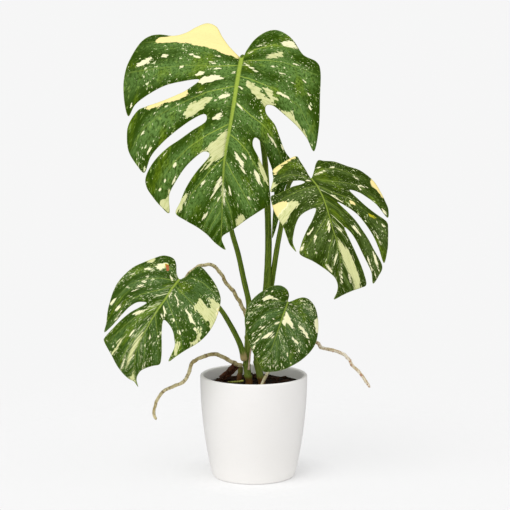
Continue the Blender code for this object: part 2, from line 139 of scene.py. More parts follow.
LEAF_2_OUTLINE = (
    # upper right lobe
    (0, 0), (6, -9), (10, -17), (15, -22), (22, -20), (35, -17), (50, -9), (66, -1), (80, 14),
    (86, 28), (90, 42), (92, 54), (88, 64),
    # first cut on the right
    (77, 46), (66, 35), (56, 27), (45, 23), (54, 36), (63, 47), (73, 57), (86, 69),
    # second lobe on the right
    (86, 79), (83, 93), (80, 104), (72, 120),
    # second cut on the right
    (68, 101), (64, 86), (57, 70), (48, 55), (37, 44), (26, 36), (36, 50), (44, 62), (50, 74),
    (56, 87), (61, 101), (69, 123),
    # third lobe on the right
    (62, 135), (53, 143),
    # third cut on the right
    (53, 129), (49, 116), (45, 104), (40, 88), (35, 77), (28, 69), (32, 86), (36, 100),
    (40, 115), (43, 129), (44, 143),
    # foot and tip
    (36, 146), (24, 148), (12, 151), (0, 154.4), (5, 146), (7, 138), (5, 129), (-2, 120),
    (-10, 112), (-19, 104), (-33, 93),
    # wide cut on the left
    (-30, 82), (-25, 73), (-18, 63), (-10, 53), (-3, 40), (-14, 41), (-24, 46), (-31, 55),
    (-36, 66), (-39, 77), (-37, 89),
    # lower left lobe
    (-43, 79), (-45, 68), (-47, 55), (-51, 44), (-54, 32), (-54, 15),
    # upper cut on the left
    (-46, 13), (-35, 10), (-25, 7), (-15, 6), (-9, 4), (-14, 1), (-22, 0), (-37, -1), (-43, 2),
    (-47, 9),
    # upper left lobe
    (-53, 8), (-50, 1), (-46, -8), (-44, -19), (-31, -26), (-12, -32), (-8, -24), (-4, -12),
)
LEAF_3_OUTLINE = (
    # left half
    (0, 0), (-6, -6), (-11, -16), (-17, -22), (-25, -23), (-33, -21), (-42, -14), (-52, -5),
    (-62, 5), (-69, 17), (-74, 31), (-75, 44), (-74, 57), (-72, 70), (-68, 84), (-66, 96),
    # cut on the left
    (-60, 87), (-56, 78), (-52, 68), (-46, 55), (-38, 46), (-27, 43), (-34, 52), (-42, 61),
    (-49, 72), (-55, 84), (-63, 102),
    # foot and tip
    (-62, 107), (-54, 114), (-45, 121), (-36, 129), (-25, 136), (-15, 140), (-7, 141),
    (0, 145.4), (-5, 137), (-4, 127), (2, 120), (10, 114), (17, 109),
    # cut on the right
    (15, 97), (10, 83), (5, 70), (2, 56), (11, 59), (18, 65), (23, 73), (27, 83), (26, 102),
    # right half
    (33, 93), (41, 82), (50, 71), (56, 61), (60, 50), (62, 38), (62, 26), (59, 8), (52, -3),
    (42, -12), (31, -19), (21, -24), (15, -23), (10, -14), (6, -4),
)
LEAF_4_OUTLINE = (
    (0, 0), (-1, -8), (-6, -14), (-15, -16), (-25, -12), (-33, -4), (-41, 7), (-46, 19),
    (-47, 30), (-45, 41), (-40, 52), (-33, 63), (-24, 74), (-14, 83), (-5, 90), (0, 94.4),
    (11, 91), (23, 84), (34, 74), (43, 63), (50, 50), (53, 37), (51, 23), (46, 9), (38, -4),
    (28, -11), (19, -12), (11, -8), (4, -2),
)

# The curve of each midrib, from the joint to the tip.
LEAF_1_MIDRIB = ((0, 0), (-2, 16), (-4, 38), (-6, 64), (-8, 88), (-11, 117), (-12, 142), (-11, 169),
                 (-9, 197), (-7, 229), (0, 243))
LEAF_2_MIDRIB = ((0, 0), (5, 10), (9, 25), (11, 40), (12, 54), (13, 68), (15, 84), (16, 100),
                 (14, 120), (9, 140), (0, 154))
LEAF_3_MIDRIB = ((0, 0), (-4, 16), (-6, 29), (-10, 46), (-13, 62), (-15, 77), (-17, 91), (-17, 106),
                 (-14, 121), (-8, 136), (0, 145))
LEAF_4_MIDRIB = ((0, 0), (-1, 20), (-1, 42), (-1, 68), (0, 94))

# The main side veins, from the joint downwards, each from the midrib to the margin.
LEAF_1_VEINS = {
    "left": (
        ((0, 0), (-20, -14), (-60, -22), (-110, -14)),
        ((-4, 11), (-35, 15), (-69, 16), (-100, 21), (-137, 28)),
        ((-8, 39), (-40, 49), (-66, 63), (-95, 81), (-116, 101), (-129, 131)),
        ((-10, 88), (-36, 104), (-57, 121), (-74, 141), (-88, 163), (-95, 185)),
        ((-12, 131), (-25, 143), (-38, 162), (-50, 181), (-55, 206)),
        ((-11, 175), (-20, 192), (-28, 214)),
    ),
    "right": (
        ((0, 0), (15, -12), (40, -22), (80, -20)),
        ((2, 5), (15, 2), (32, 0), (54, 0), (84, 7)),
        ((0, 25), (12, 27), (28, 32), (46, 37), (77, 55), (100, 91)),
        ((-3, 59), (16, 74), (32, 84), (48, 98), (62, 124), (70, 150)),
        ((-9, 100), (3, 108), (15, 119), (31, 142), (44, 164)),
        ((-12, 131), (-1, 149), (14, 170), (29, 192)),
        ((-11, 172), (-2, 188), (6, 210)),
    ),
}
LEAF_2_VEINS = {
    "left": (
        ((0, 1), (-12, -5), (-25, -9), (-39, -7)),
        ((5, 11), (-9, 12), (-24, 15), (-41, 20), (-52, 28)),
        ((9, 34), (-8, 36), (-24, 46), (-40, 66)),
        ((10, 50), (-4, 65), (-18, 80), (-31, 92)),
        ((13, 75), (5, 90), (-2, 108)),
    ),
    "right": (
        ((0, 0), (14, -9), (34, -8), (60, 6)),
        ((2, 1), (20, 7), (40, 12), (60, 19), (79, 37)),
        ((5, 10), (23, 23), (42, 33), (60, 52), (78, 72)),
        ((9, 29), (25, 44), (42, 65), (58, 96), (66, 124)),
        ((12, 54), (23, 71), (35, 90), (43, 113), (46, 138)),
        ((14, 76), (21, 94), (27, 116), (30, 142)),
    ),
}
LEAF_3_VEINS = {
    "left": (
        ((0, 0), (-14, -9), (-34, -6), (-52, 6)),
        ((-3, 4), (-22, 7), (-40, 14), (-57, 27), (-66, 46)),
        ((-5, 13), (-20, 23), (-38, 35), (-53, 53), (-63, 85)),
        ((-10, 40), (-24, 52), (-38, 71), (-48, 89), (-57, 108)),
        ((-15, 64), (-22, 81), (-29, 102), (-34, 125)),
    ),
    "right": (
        ((0, 0), (15, -7), (30, -6), (48, 1)),
        ((-1, 10), (18, 19), (38, 29), (57, 44)),
        ((-6, 28), (7, 42), (22, 58), (33, 74), (38, 88)),
        ((-11, 52), (-3, 67), (6, 84), (12, 102)),
        ((-15, 78), (-8, 96), (-3, 114)),
    ),
}
LEAF_4_VEINS = {
    "left": (
        ((-1, 1), (-13, 4), (-24, 10), (-37, 22), (-44, 38)),
        ((-2, 10), (-13, 17), (-23, 26), (-33, 41), (-38, 57)),
        ((-2, 27), (-11, 37), (-19, 49), (-25, 64), (-29, 73)),
        ((-2, 47), (-7, 57), (-12, 71), (-16, 82)),
    ),
    "right": (
        ((0, 0), (11, -4), (25, -4), (40, 5)),
        ((0, 9), (16, 15), (30, 20), (48, 30)),
        ((0, 20), (10, 31), (27, 41), (43, 51)),
        ((-1, 38), (8, 50), (21, 61), (34, 70)),
        ((-1, 49), (5, 62), (13, 80)),
    ),
}

# Cream areas of each blade: large blotches as outlines, and streaks as (u, v, u, v, width).
PALE, CREAM, YELLOW, LIME, RUST = 0.0, 0.25, 0.5, 0.75, 1.0
LEAF_1_BLOTCHES = (
    (YELLOW, ((-2, 2), (-15, 0), (-28, -5), (-44, -10), (-64, -13), (-83, -15), (-102, -12),
              (-110, -13), (-106, -19), (-95, -22), (-84, -26), (-73, -33), (-61, -43), (-46, -48),
              (-33, -44), (-21, -26), (-11, -13), (-1, -3))),
    (CREAM, ((-54, 36), (-45, 30), (-32, 26), (-20, 30), (-30, 34), (-41, 37), (-48, 39))),
    (YELLOW, ((-117, 74), (-105, 67), (-91, 60), (-78, 54), (-66, 47), (-63, 53), (-70, 59),
              (-81, 64), (-90, 67), (-101, 73), (-110, 76))),
    (PALE, ((-67, 79), (-61, 69), (-54, 63), (-43, 57), (-30, 55), (-39, 64), (-46, 74), (-55, 81),
            (-64, 86))),
    (CREAM, ((-32, 59), (-21, 52), (-10, 46), (-11, 51), (-20, 56), (-30, 60))),
    (PALE, ((-10, 92), (-19, 102), (-29, 112), (-36, 121), (-42, 127), (-32, 126), (-29, 131),
            (-33, 138), (-39, 151), (-29, 141), (-20, 132), (-12, 125), (-10, 113), (-10, 104))),
    (PALE, ((-66, 204), (-65, 192), (-59, 182), (-52, 177), (-55, 186), (-58, 193), (-61, 203))),
    (PALE, ((-87, 190), (-80, 186), (-77, 174), (-73, 183), (-75, 195), (-71, 206), (-80, 202),
            (-88, 195))),
    (PALE, ((8, 30), (17, 34), (25, 39), (33, 48), (46, 57), (33, 61), (26, 53), (17, 46),
            (11, 39))),
    (PALE, ((29, 37), (36, 37), (43, 45), (51, 52), (43, 52), (35, 46))),
    (CREAM, ((46, 39), (54, 41), (63, 46), (67, 52), (59, 46), (49, 43))),
    (PALE, ((53, 62), (62, 66), (66, 63), (73, 73), (79, 80), (86, 84), (90, 96), (81, 91),
            (72, 83), (64, 77), (57, 70))),
    (CREAM, ((49, -26), (56, -30), (66, -30), (71, -21), (63, -22), (55, -22))),
    (PALE, ((31, -5), (40, -11), (52, -14), (52, -8), (44, -4), (34, -3))),
    (CREAM, ((-3, 119), (4, 125), (11, 134), (15, 148), (8, 139), (2, 130))),
    (PALE, ((28, 123), (36, 132), (42, 143), (46, 160), (41, 155), (35, 146), (31, 135))),
    (CREAM, ((24, 139), (32, 147), (38, 163), (32, 156), (26, 147))),
    (CREAM, ((-13, 153), (-13, 161), (-18, 171), (-25, 184), (-23, 174), (-19, 162))),
    (CREAM, ((-13, 155), (-9, 169), (-5, 193), (-9, 186), (-12, 173))),
    (PALE, ((12, 196), (19, 202), (19, 212), (13, 215), (10, 209))),
    (CREAM, ((-31, 83), (-26, 78), (-19, 73), (-18, 78), (-24, 83), (-30, 84))),
    (CREAM, ((-132, 20), (-127, 14), (-120, 10), (-112, 7), (-115, 14), (-123, 18), (-130, 21))),
    (CREAM, ((-102, 6), (-97, 2), (-92, 5), (-95, 8))),
    (CREAM, ((-59, 29), (-51, 23), (-45, 25), (-53, 29))),
    (CREAM, ((-54, 52), (-50, 48), (-43, 48), (-49, 52))),
)
LEAF_1_STREAKS = (
    (-4, 58, 11, 73, 2.2), (3, 7, 22, 18, 2.6), (-42, 19, -23, 17, 1.4), (40, 95, 52, 109, 2.6),
    (-32, 209, -27, 200, 3.0), (-67, 0, -53, 5, 2.4), (-73, 171, -70, 156, 2.6),
    (-133, 75, -132, 67, 1.6), (-117, 110, -112, 102, 2.0), (-107, 133, -103, 122, 3.0),
    (-92, 138, -83, 127, 2.0), (-79, 20, -71, 18, 2.0), (-41, 10, -32, 11, 1.8),
    (-34, 1, -26, 1, 1.8), (67, 1, 78, 3, 1.8), (36, 8, 43, 9, 1.8), (62, 24, 70, 27, 2.0),
    (79, 19, 84, 23, 3.0), (88, 37, 93, 40, 3.0), (71, 33, 79, 38, 1.2), (88, 53, 94, 57, 2.4),
    (50, 15, 58, 17, 2.2), (19, -17, 30, -20, 1.6), (8, -6, 16, -11, 1.6), (10, 123, 15, 129, 2.0),
    (21, 176, 25, 181, 2.2), (-16, 187, -14, 179, 2.0), (-4, 165, 0, 177, 2.2),
    (-26, 82, -18, 76, 1.0), (-91, 99, -86, 95, 2.6), (-74, 147, -71, 141, 2.2),
    (-39, 170, -33, 161, 2.0), (-89, 177, -87, 174, 2.4), (-84, 167, -83, 163, 2.0),
    (59, 106, 62, 112, 2.6), (27, 123, 30, 127, 1.6), (-46, 68, -39, 64, 1.6),
    (-1, 39, 5, 44, 1.6), (-41, 112, -37, 109, 1.6), (-12, 23, -7, 20, 1.4),
)
LEAF_2_BLOTCHES = (
    (YELLOW, ((-57, 26), (-46, 25), (-36, 23), (-34, 29), (-42, 36), (-51, 43), (-57, 35))),
    (PALE, ((-35, 27), (-28, 24), (-22, 30), (-30, 37), (-38, 45), (-48, 55), (-54, 43),
            (-44, 34))),
    (YELLOW, ((-46, -18), (-38, -24), (-28, -29), (-18, -33), (-10, -35), (-13, -29), (-19, -28),
              (-28, -24), (-36, -19), (-43, -11))),
    (PALE, ((16, 81), (22, 89), (28, 99), (31, 109), (35, 120), (36, 134), (36, 149), (28, 150),
            (27, 133), (23, 125), (20, 114), (18, 102), (16, 92))),
    (YELLOW, ((75, 14), (82, 12), (92, 26), (95, 40), (87, 38), (81, 27), (76, 21))),
    (YELLOW, ((42, 37), (47, 38), (48, 42), (42, 41))),
    (LIME, ((63, 56), (69, 59), (73, 64), (68, 62), (64, 59))),
    (PALE, ((-53, 1), (-48, -3), (-44, -2), (-40, 0), (-48, 4), (-54, 11))),
    (CREAM, ((37, 67), (42, 69), (47, 82), (43, 79), (39, 73))),
)
LEAF_2_STREAKS = (
    (20, 26, 33, 38, 1.6), (10, 58, 7, 71, 2.6), (-20, 72, -10, 63, 2.6), (18, 66, 24, 75, 1.8),
    (66, 78, 72, 97, 2.0), (60, 103, 63, 131, 2.4), (51, 109, 59, 139, 2.2), (5, -3, 21, -7, 1.6),
    (27, -10, 32, -10, 1.8), (53, 5, 61, 10, 1.8), (57, 20, 61, 26, 1.6), (-33, 89, -26, 81, 3.2),
    (-3, 111, 2, 121, 3.2), (-14, 89, -14, 96, 2.0), (-14, 84, -10, 73, 1.8),
    (6, 113, 12, 100, 1.8), (16, 113, 12, 137, 1.6), (23, 125, 24, 138, 1.8),
    (54, 17, 69, 22, 1.2), (11, 122, 12, 130, 1.0), (4, 83, 7, 82, 2.0), (8, -11, 14, -12, 1.2),
    (83, 52, 87, 59, 1.8), (79, 72, 83, 77, 2.2), (-7, 2, -2, 3, 1.8),
)
LEAF_3_BLOTCHES = (
    (PALE, ((-54, -6), (-47, -12), (-41, -18), (-39, -12), (-42, -6), (-48, -7))),
    (CREAM, ((-36, -4), (-31, -10), (-26, -14), (-21, -13), (-23, -8), (-26, -3), (-32, -3))),
    (PALE, ((30, 27), (34, 14), (39, 16), (46, 22), (51, 21), (49, 15), (44, 10), (51, 9),
            (58, 12), (63, 13), (65, 28), (65, 40), (62, 48), (56, 40), (52, 38), (43, 34),
            (37, 29), (35, 32))),
    (YELLOW, ((53, 22), (55, 16), (64, 10), (67, 23), (66, 36), (58, 29))),
    (PALE, ((41, 43), (48, 49), (53, 57), (54, 63), (51, 71), (46, 79), (44, 70), (48, 63),
            (48, 57), (45, 50))),
    (CREAM, ((19, 29), (24, 33), (32, 37), (40, 47), (35, 46), (29, 40), (22, 33))),
    (PALE, ((28, 73), (32, 76), (33, 82), (32, 91), (29, 94), (27, 84), (27, 76))),
    (PALE, ((-37, 88), (-41, 95), (-44, 104), (-46, 115), (-45, 123), (-43, 117), (-41, 106),
            (-39, 96))),
    (PALE, ((-17, 78), (-21, 87), (-24, 100), (-25, 110), (-24, 119), (-22, 129), (-21, 124),
            (-21, 113), (-19, 99), (-17, 87))),
    (CREAM, ((-74, 60), (-71, 53), (-67, 50), (-68, 56), (-70, 61))),
    (CREAM, ((-63, 66), (-62, 60), (-58, 55), (-57, 60), (-61, 66))),
    (CREAM, ((-4, 28), (-4, 21), (-2, 14), (-2, 24), (-2, 29))),
    (CREAM, ((-40, 64), (-34, 57), (-23, 50), (-27, 56), (-34, 62))),
    (PALE, ((-13, 126), (-10, 132), (-5, 141), (-12, 141), (-16, 139), (-12, 135))),
    (RUST, ((-25, -13), (-21, -12), (-18, -8), (-17, -5), (-20, -7), (-23, -10))),
)
LEAF_3_STREAKS = (
    (-28, 116, -28, 135, 2.0), (-2, 113, -2, 124, 2.0), (-58, 80, -54, 63, 1.6),
    (-4, 39, 2, 50, 2.2), (-3, 49, 2, 56, 2.2), (-47, 3, -38, 0, 3.0), (-41, 12, -38, 10, 2.2),
    (-44, 19, -38, 18, 2.2), (-46, 28, -39, 23, 3.0), (-52, 36, -45, 30, 1.6),
    (-60, 33, -57, 32, 2.4), (-62, 15, -58, 12, 1.6), (24, 62, 29, 66, 3.0),
    (-31, 89, -28, 78, 1.8), (10, 29, 14, 34, 1.8), (3, 21, 10, 26, 1.4), (13, 50, 16, 53, 2.4),
    (36, 71, 39, 76, 2.0), (1, 77, 5, 78, 1.8), (-6, 84, -7, 80, 2.0), (-18, 117, -18, 110, 1.8),
    (41, 52, 44, 54, 2.2), (-11, 1, -6, 6, 2.6), (-9, 91, -8, 96, 1.2),
)
LEAF_4_BLOTCHES = (
    (CREAM, ((1, 11), (6, 17), (11, 22), (16, 25), (15, 27), (20, 31), (14, 30), (7, 26), (6, 28),
             (5, 32), (0, 28), (1, 20))),
    (CREAM, ((-34, 9), (-32, 6), (-27, 2), (-22, 1), (-14, 2), (-21, 4), (-27, 7), (-30, 10))),
    (CREAM, ((-10, 0), (-6, -2), (-1, 0), (-3, 0), (-9, 0))),
    (CREAM, ((21, 23), (27, 25), (31, 26), (37, 30), (42, 35), (37, 36), (31, 31), (28, 28),
             (24, 26))),
    (CREAM, ((-19, 57), (-15, 51), (-11, 46), (-5, 41), (-7, 46), (-11, 52), (-16, 56))),
    (CREAM, ((40, 12), (42, 8), (49, 7), (54, 14), (54, 22), (49, 27), (47, 23), (43, 16))),
)
LEAF_4_STREAKS = (
    (17, 39, 24, 46, 1.9), (25, 44, 30, 47, 2.4), (-25, 68, -21, 58, 1.0), (-24, 54, -20, 50, 2.2),
    (-7, 52, -4, 47, 2.2), (-24, 44, -19, 41, 2.2), (-41, 19, -30, 16, 1.5),
    (-42, 45, -39, 41, 1.2), (-37, 49, -35, 46, 1.8), (-45, 34, -42, 28, 1.2), (1, 83, 1, 79, 1.9),
    (9, 86, 10, 76, 1.4), (13, 86, 15, 78, 1.0), (22, 68, 20, 61, 1.4), (14, 66, 17, 70, 1.2),
    (22, 57, 25, 60, 1.6), (-26, 31, -22, 28, 1.4), (-14, 27, -10, 28, 1.4), (-6, 21, -3, 19, 1.6),
    (1, 0, 6, 3, 1.8), (-31, -3, -28, -4, 1.4), (-25, -5, -23, -7, 1.4), (-8, 34, -4, 29, 1.6),
    (-30, 14, -25, 16, 1.0), (-30, 56, -29, 52, 1.6), (-22, 72, -22, 68, 2.0),
    (-11, 70, -9, 67, 1.6), (42, 38, 44, 40, 1.6), (32, 56, 36, 53, 1.6), (-14, 79, -11, 77, 1.4),
    (2, 86, 6, 87, 1.8), (30, 73, 31, 72, 1.6), (-4, -7, -2, -7, 1.2), (-15, -3, -14, -3, 1.2),
    (20, 1, 29, 1, 0.9), (15, -6, 19, -8, 1.0),
)

# The lobe of leaf 1 that steps back behind leaf 2, bounded by the cuts on either side of it.
LEAF_1_BACK_LOBE = {
    "region": ((24, 106), (35, 65), (60, 82), (78, 106), (120, 150), (90, 240), (54, 240),
               (54, 188), (48, 148), (34, 116)),
    "root": (28, 84),
    "run": (0.26, 0.966),
    "hinge": ((24, 106), (0.966, 0.26), 10),
    "step_back": 30,
    "reach": 45,
}


def leaf(outline, length, joint, towards, roll, bow, droop, midrib, veins, blotches, streaks,
         lobe=None):
    """A blade's design: how it hangs, bows and droops in mm, its veins and its cream areas."""
    return {
        "outline": outline,
        "length": length,
        "joint": joint,
        "towards": towards,
        "roll": math.radians(roll),
        "bow": bow,
        "droop": droop,
        "midrib": midrib,
        "veins": veins,
        "blotches": blotches,
        "streaks": streaks,
        "lobe": lobe,
    }


LEAVES = {
    "leaf_1": leaf(LEAF_1_OUTLINE, 0.2435, (-15.2, -25, 425.1), (-20, -45, -238.5), 4, 19.2, 23.6,
                   LEAF_1_MIDRIB, LEAF_1_VEINS, LEAF_1_BLOTCHES, LEAF_1_STREAKS, LEAF_1_BACK_LOBE),
    "leaf_2": leaf(LEAF_2_OUTLINE, 0.1544, (71.7, -65, 276.1), (27.9, -35, -147.8), 10, 10.9, 14.6,
                   LEAF_2_MIDRIB, LEAF_2_VEINS, LEAF_2_BLOTCHES, LEAF_2_STREAKS),
    "leaf_3": leaf(LEAF_3_OUTLINE, 0.1454, (-94.2, -55, 147.6), (-51, -30, -132.9), -12, 9.5, 11.6,
                   LEAF_3_MIDRIB, LEAF_3_VEINS, LEAF_3_BLOTCHES, LEAF_3_STREAKS),
    "leaf_4": leaf(LEAF_4_OUTLINE, 0.0944, (44.1, -45, 117.1), (-31.6, -17, -87.3), 8, 5.5, 7.7,
                   LEAF_4_MIDRIB, LEAF_4_VEINS, LEAF_4_BLOTCHES, LEAF_4_STREAKS),
}

# Routes from the soil's middle upwards. A stalk's route leaves out its end at the blade.
STEM_LEFT_ROUTE = ((-6, -6), (-6, -6, 6), (-7.6, -6, 15), (-9.4, -5, 31), (-8.1, -4, 47),
                   (-6.1, 0, 85))
STEM_RIGHT_ROUTE = ((10.5, -5), (10.5, -5, 5), (8.2, -4.4, 14), (4.3, -2, 33), (6.9, 0, 59),
                    (10, 2, 80))
STALK_1_ROUTE = ((10.2, 2.2, 81), (13, 3, 104), (16.7, 3, 125), (19, 8, 170), (19, 10, 202),
                 (17, 10, 255), (13, 5, 307), (4, 2, 355), (-5, 0, 395), (-11, -4, 418),
                 (-14, -12, 426))
STALK_2_ROUTE = ((12, 12.5, 71), (16, 14, 95), (19.5, 14, 115), (23, 12, 130), (30.5, 5, 180),
                 (38, -1, 222), (41, -7, 246), (46, -16, 266), (55, -30, 278), (64, -45, 280))
STALK_3_ROUTE = ((-12, -14.4, 34), (-15, -15.5, 48), (-20, -17, 62), (-31, -25, 85),
                 (-44, -34, 107), (-68, -44, 133), (-84, -47, 146))
STALK_4_ROUTE = ((7, -10.5, 46), (14, -14, 62), (24, -19, 84), (34, -25, 104), (41, -32, 116))
NEW_STALK_ROUTE = ((-6, 0.6, 86.3), (-6, 2, 100), (-7, 4, 112), (-13, 8, 138), (-20, 12, 170),
                   (-28.3, 15, 199), (-35, 17, 232), (-38, 17, 252))
ROOT_LEFT_ROUTE = ((-15.6, -6, 27), (-23, -12, 30), (-51, -22, 44))
# The rest of the left root: outside the rim, y, and above the rim.
ROOT_LEFT_FALL = ((-1, -30, 22), (4, -32, 10), (10, -35, -1), (37, -38, -15), (46, -40, -27),
                  (50, -40, -42), (47, -40, -52))
ROOT_ARCHING_ROUTE = ((-7.5, -8.8, 76), (-8.6, -9, 86), (-11.5, -9, 97), (-23, -10, 120),
                      (-34, -11, 134), (-46, -12, 153), (-56, -14, 160), (-63, -16, 160),
                      (-72, -18, 158), (-83, -20, 149), (-93, -22, 136), (-99, -24, 121))
ROOT_RIGHT_ROUTE = ((13.8, 0.5, 58), (22, 2, 61), (38, 2, 67), (60, 0, 70), (82, -5, 57),
                    (90, -5, 49), (103, -8, 47), (120, -10, 40), (129, -12, 28), (141, -14, 15),
                    (151, -16, -1))
ROOT_WHITE_ROUTE = ((21, -22, 24), (15, -30, 16), (10, -38, 7), (7, -46, 2.6))
ROOT_GREEN_ROUTE = ((-13, -14, 8), (-20, -10, 6), (-27, -8, 5), (-34, -5, 4.5))
OLD_STALK_ROUTE = ((-19, 1, 5), (-18, 0, 14), (-16.2, -1, 24))
DRY_SHEATH_ROUTE = ((-22, 8, 24), (-28, 9, 17), (-35, 11, 10), (-43, 13, 4))
PALE_SHEATH_ROUTE = ((-6.5, -13, 22), (-5.5, -12.7, 34), (-4, -12, 46), (-2, -11.2, 58))


# Each stem's route and how far up it, in metres, its knuckles stand.
STEMS = {
    "stem_left": (STEM_LEFT_ROUTE, (0.012, 0.027, 0.043, 0.064)),
    "stem_right": (STEM_RIGHT_ROUTE, (0.010, 0.030, 0.052, 0.070)),
}

# Skins of stems and stalks: green, dark, stripe and foot, as 8-bit display colours.
STALK_SKINS = {
    "stem_skin": ((118, 138, 46), (76, 98, 28), (160, 172, 84), (108, 60, 36)),
    "stub_skin": ((124, 132, 52), (92, 78, 34), (160, 150, 84), (108, 60, 36)),
    "stalk_skin": ((104, 130, 30), (64, 86, 12), (150, 170, 58), (188, 164, 114)),
}
# Skins of roots and sheaths: pale, tan and dark.
ROOT_SKINS = {
    "corky_root": ((218, 206, 160), (174, 158, 106), (120, 94, 58)),
    "blotched_root": ((238, 230, 208), (206, 188, 148), (166, 104, 72)),
    "young_root_skin": ((224, 216, 186), (196, 186, 140), (140, 118, 78)),
    "green_root_skin": ((176, 182, 84), (136, 146, 50), (86, 84, 34)),
    "dry_sheath_skin": ((110, 62, 38), (74, 38, 24), (40, 22, 14)),
    "pale_sheath_skin": ((226, 206, 186), (204, 178, 150), (150, 112, 88)),
}

# Aerial roots: skin and route. The left one's also falls over the rim.
ROOTS = {
    "left": ("corky_root", ROOT_LEFT_ROUTE),
    "arching": ("corky_root", ROOT_ARCHING_ROUTE),
    "right": ("blotched_root", ROOT_RIGHT_ROUTE),
}
# Young roots: skin, slot, route, radii, the gap between rings, seed and points round.
YOUNG_ROOTS = {
    "white": ("young_root_skin", "young_root", ROOT_WHITE_ROUTE, (0.0020, 0.0017), 0.0030, 8, 20),
    "green": ("green_root_skin", "green_stalk", ROOT_GREEN_ROUTE, (0.0014, 0.0010), 0.0040, 9, 16),
}

# How each leaf stalk meets its blade, and the stalks' routes and radii in the leaves' order.
BLADE_CAD_THICKNESS = 0.0010
STALK_GAP = 0.0003
STALK_BEHIND_JOINT = 7.5
STALKS = (
    (STALK_1_ROUTE, (0.0050, 0.0028)),
    (STALK_2_ROUTE, (0.0042, 0.0024)),
    (STALK_3_ROUTE, (0.0039, 0.0023)),
    (STALK_4_ROUTE, (0.0030, 0.0018)),
)

# Each leaf's greens at its margin, darkened there as painted shade, and in its middle, greyed
# there as a painted sheen; how strongly its specks show, the width of its midrib in mm, how fine
# its specks are and how strongly its veins show.
BLADE_TONES = {
    "leaf_1": ((0.031, 0.074, 0.001), (0.126, 0.236, 0.050), 0.70, 2.9, 1.0, 1.0),
    "leaf_2": ((0.029, 0.056, 0.002), (0.094, 0.146, 0.031), 0.68, 1.1, 1.15, 0.4),
    "leaf_3": ((0.033, 0.076, 0.003), (0.088, 0.162, 0.042), 0.94, 1.5, 1.2, 0.5),
    "leaf_4": ((0.032, 0.072, 0.003), (0.092, 0.165, 0.048), 0.96, 1.2, 1.3, 0.25),
}

# Relief of a blade, in mm: its midrib's groove and the ridge under it at the joint, how much of
# their width they lose by the tip, and the waves of its margin.
GROOVE_WIDTH = 3.4
RIDGE_WIDTH = 1.9
RIDGE_HEIGHT = 1.1
MIDRIB_SLIMMING = 0.65
MARGIN_WAVE = 0.5
MARGIN_WAVE_REACH = 16

# Veins and cream areas, in mm: the gaps between side veins, how far apart the streaks of a blade
# follow them at most, and the depths given to places far from any cream and to a rust patch.
VEIN_GAP_BEYOND = 22.0
NARROWEST_VEIN_GAP = 5
WIDEST_VEIN_GAP = 45
WIDEST_GRAIN_GAP = 22.0
FAR_FROM_CREAM = -60.0
RUST_LEAD = 40

# How fine the turned and scattered pieces are, and where their random draws start.
POT_ROWS = 30
CORNER_POINTS = 7
SOIL_SIDES = 144
SOIL_RINGS = 56
SOIL_WAVES = 26
SOIL_SEED = 7
BARK_SEED = 11
GOLDEN_TURN = 0.381966
GRAIN_SHIFT = 37.0
SHEATH_THICKNESS = 0.00035
SHEATH_COLUMNS = 11

# Floor, camera and the two soft lights: share of the key's strength, width and direction.
FLOOR_RADIUS = 1.0
FLOOR_SIDES = 64
FLOOR_DROP = 0.0002
CAMERA_PLACE = (0.0017, -2.07, 0.555)
CAMERA_DIP = 7.27
SENSOR_WIDTH = 36.0
LIGHTS = {
    "key": (1.0, 50, (42, 0, -38)),
    "rim": (0.22, 60, (58, 0, 60)),
}


# Lines, areas and meshes.


def curve_between(p0, p1, p2, p3, t):
    """A Catmull-Rom curve from p1 to p2."""
    return 0.5 * (2 * p1 + (p2 - p0) * t + (2 * p0 - 5 * p1 + 4 * p2 - p3) * t * t
                  + (3 * p1 - p0 - 3 * p2 + p3) * t**3)


def smooth_line(points, step, closed=False):
    """An array of points about one step apart along the smooth curve through the given ones."""
    given = [np.array(point, float) for point in points]
    if closed:
        padded = [given[-1], *given, given[0], given[1]]
    else:
        padded = [2 * given[0] - given[1], *given, 2 * given[-1] - given[-2]]
    line = []
    for p0, p1, p2, p3 in zip(padded, padded[1:], padded[2:], padded[3:]):
        parts = max(1, round(float(np.linalg.norm(p2 - p1)) / step))
        line += [curve_between(p0, p1, p2, p3, part / parts) for part in range(parts)]
    if not closed:
        line.append(given[-1])
    return np.array(line)


def inside(places, corners):
    """Whether each 2-D place is inside a polygon."""
    corners = np.asarray(corners, float)
    found = np.zeros(len(places), bool)
    x, y = places.T
    for (x0, y0), (x1, y1) in zip(corners, np.roll(corners, -1, axis=0)):
        if y0 != y1:
            found ^= ((y0 > y) != (y1 > y)) & (x < x0 + (x1 - x0) * (y - y0) / (y1 - y0))
    return found


def distance_to_line(places, line, closed=False):
    """The distance from each 2-D place to a line of straight stretches."""
    line = np.asarray(line, float)
    ends = np.roll(line, -1, axis=0) if closed else line[1:]
    nearest = np.full(len(places), np.inf)
    for start, end in zip(line, ends):
        run = end - start
        t = np.clip((places - start) @ run / max(1e-9, run @ run), 0, 1)
        away = places - start - t[:, None] * run
        nearest = np.minimum(nearest, (away**2).sum(axis=1))
    return np.sqrt(nearest)


def smooth_step(value, low, high):
    t = np.clip((value - low) / (high - low), 0, 1)
    return t * t * (3 - 2 * t)


def add_piece(name, points, faces, finish, nodes, smooth=True):
    """A finished piece on the plant's one body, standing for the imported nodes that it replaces."""
    mesh = bpy.data.meshes.new(name)
    mesh.from_pydata([tuple(point) for point in points], [], faces)
    mesh.validate()
    if smooth:
        mesh.shade_smooth()
    mesh.materials.append(finish)
    piece = bpy.data.objects.new(name, mesh)
    bpy.context.scene.collection.objects.link(piece)
    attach(piece, "root")
    if nodes:
        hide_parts(*nodes)
    return piece


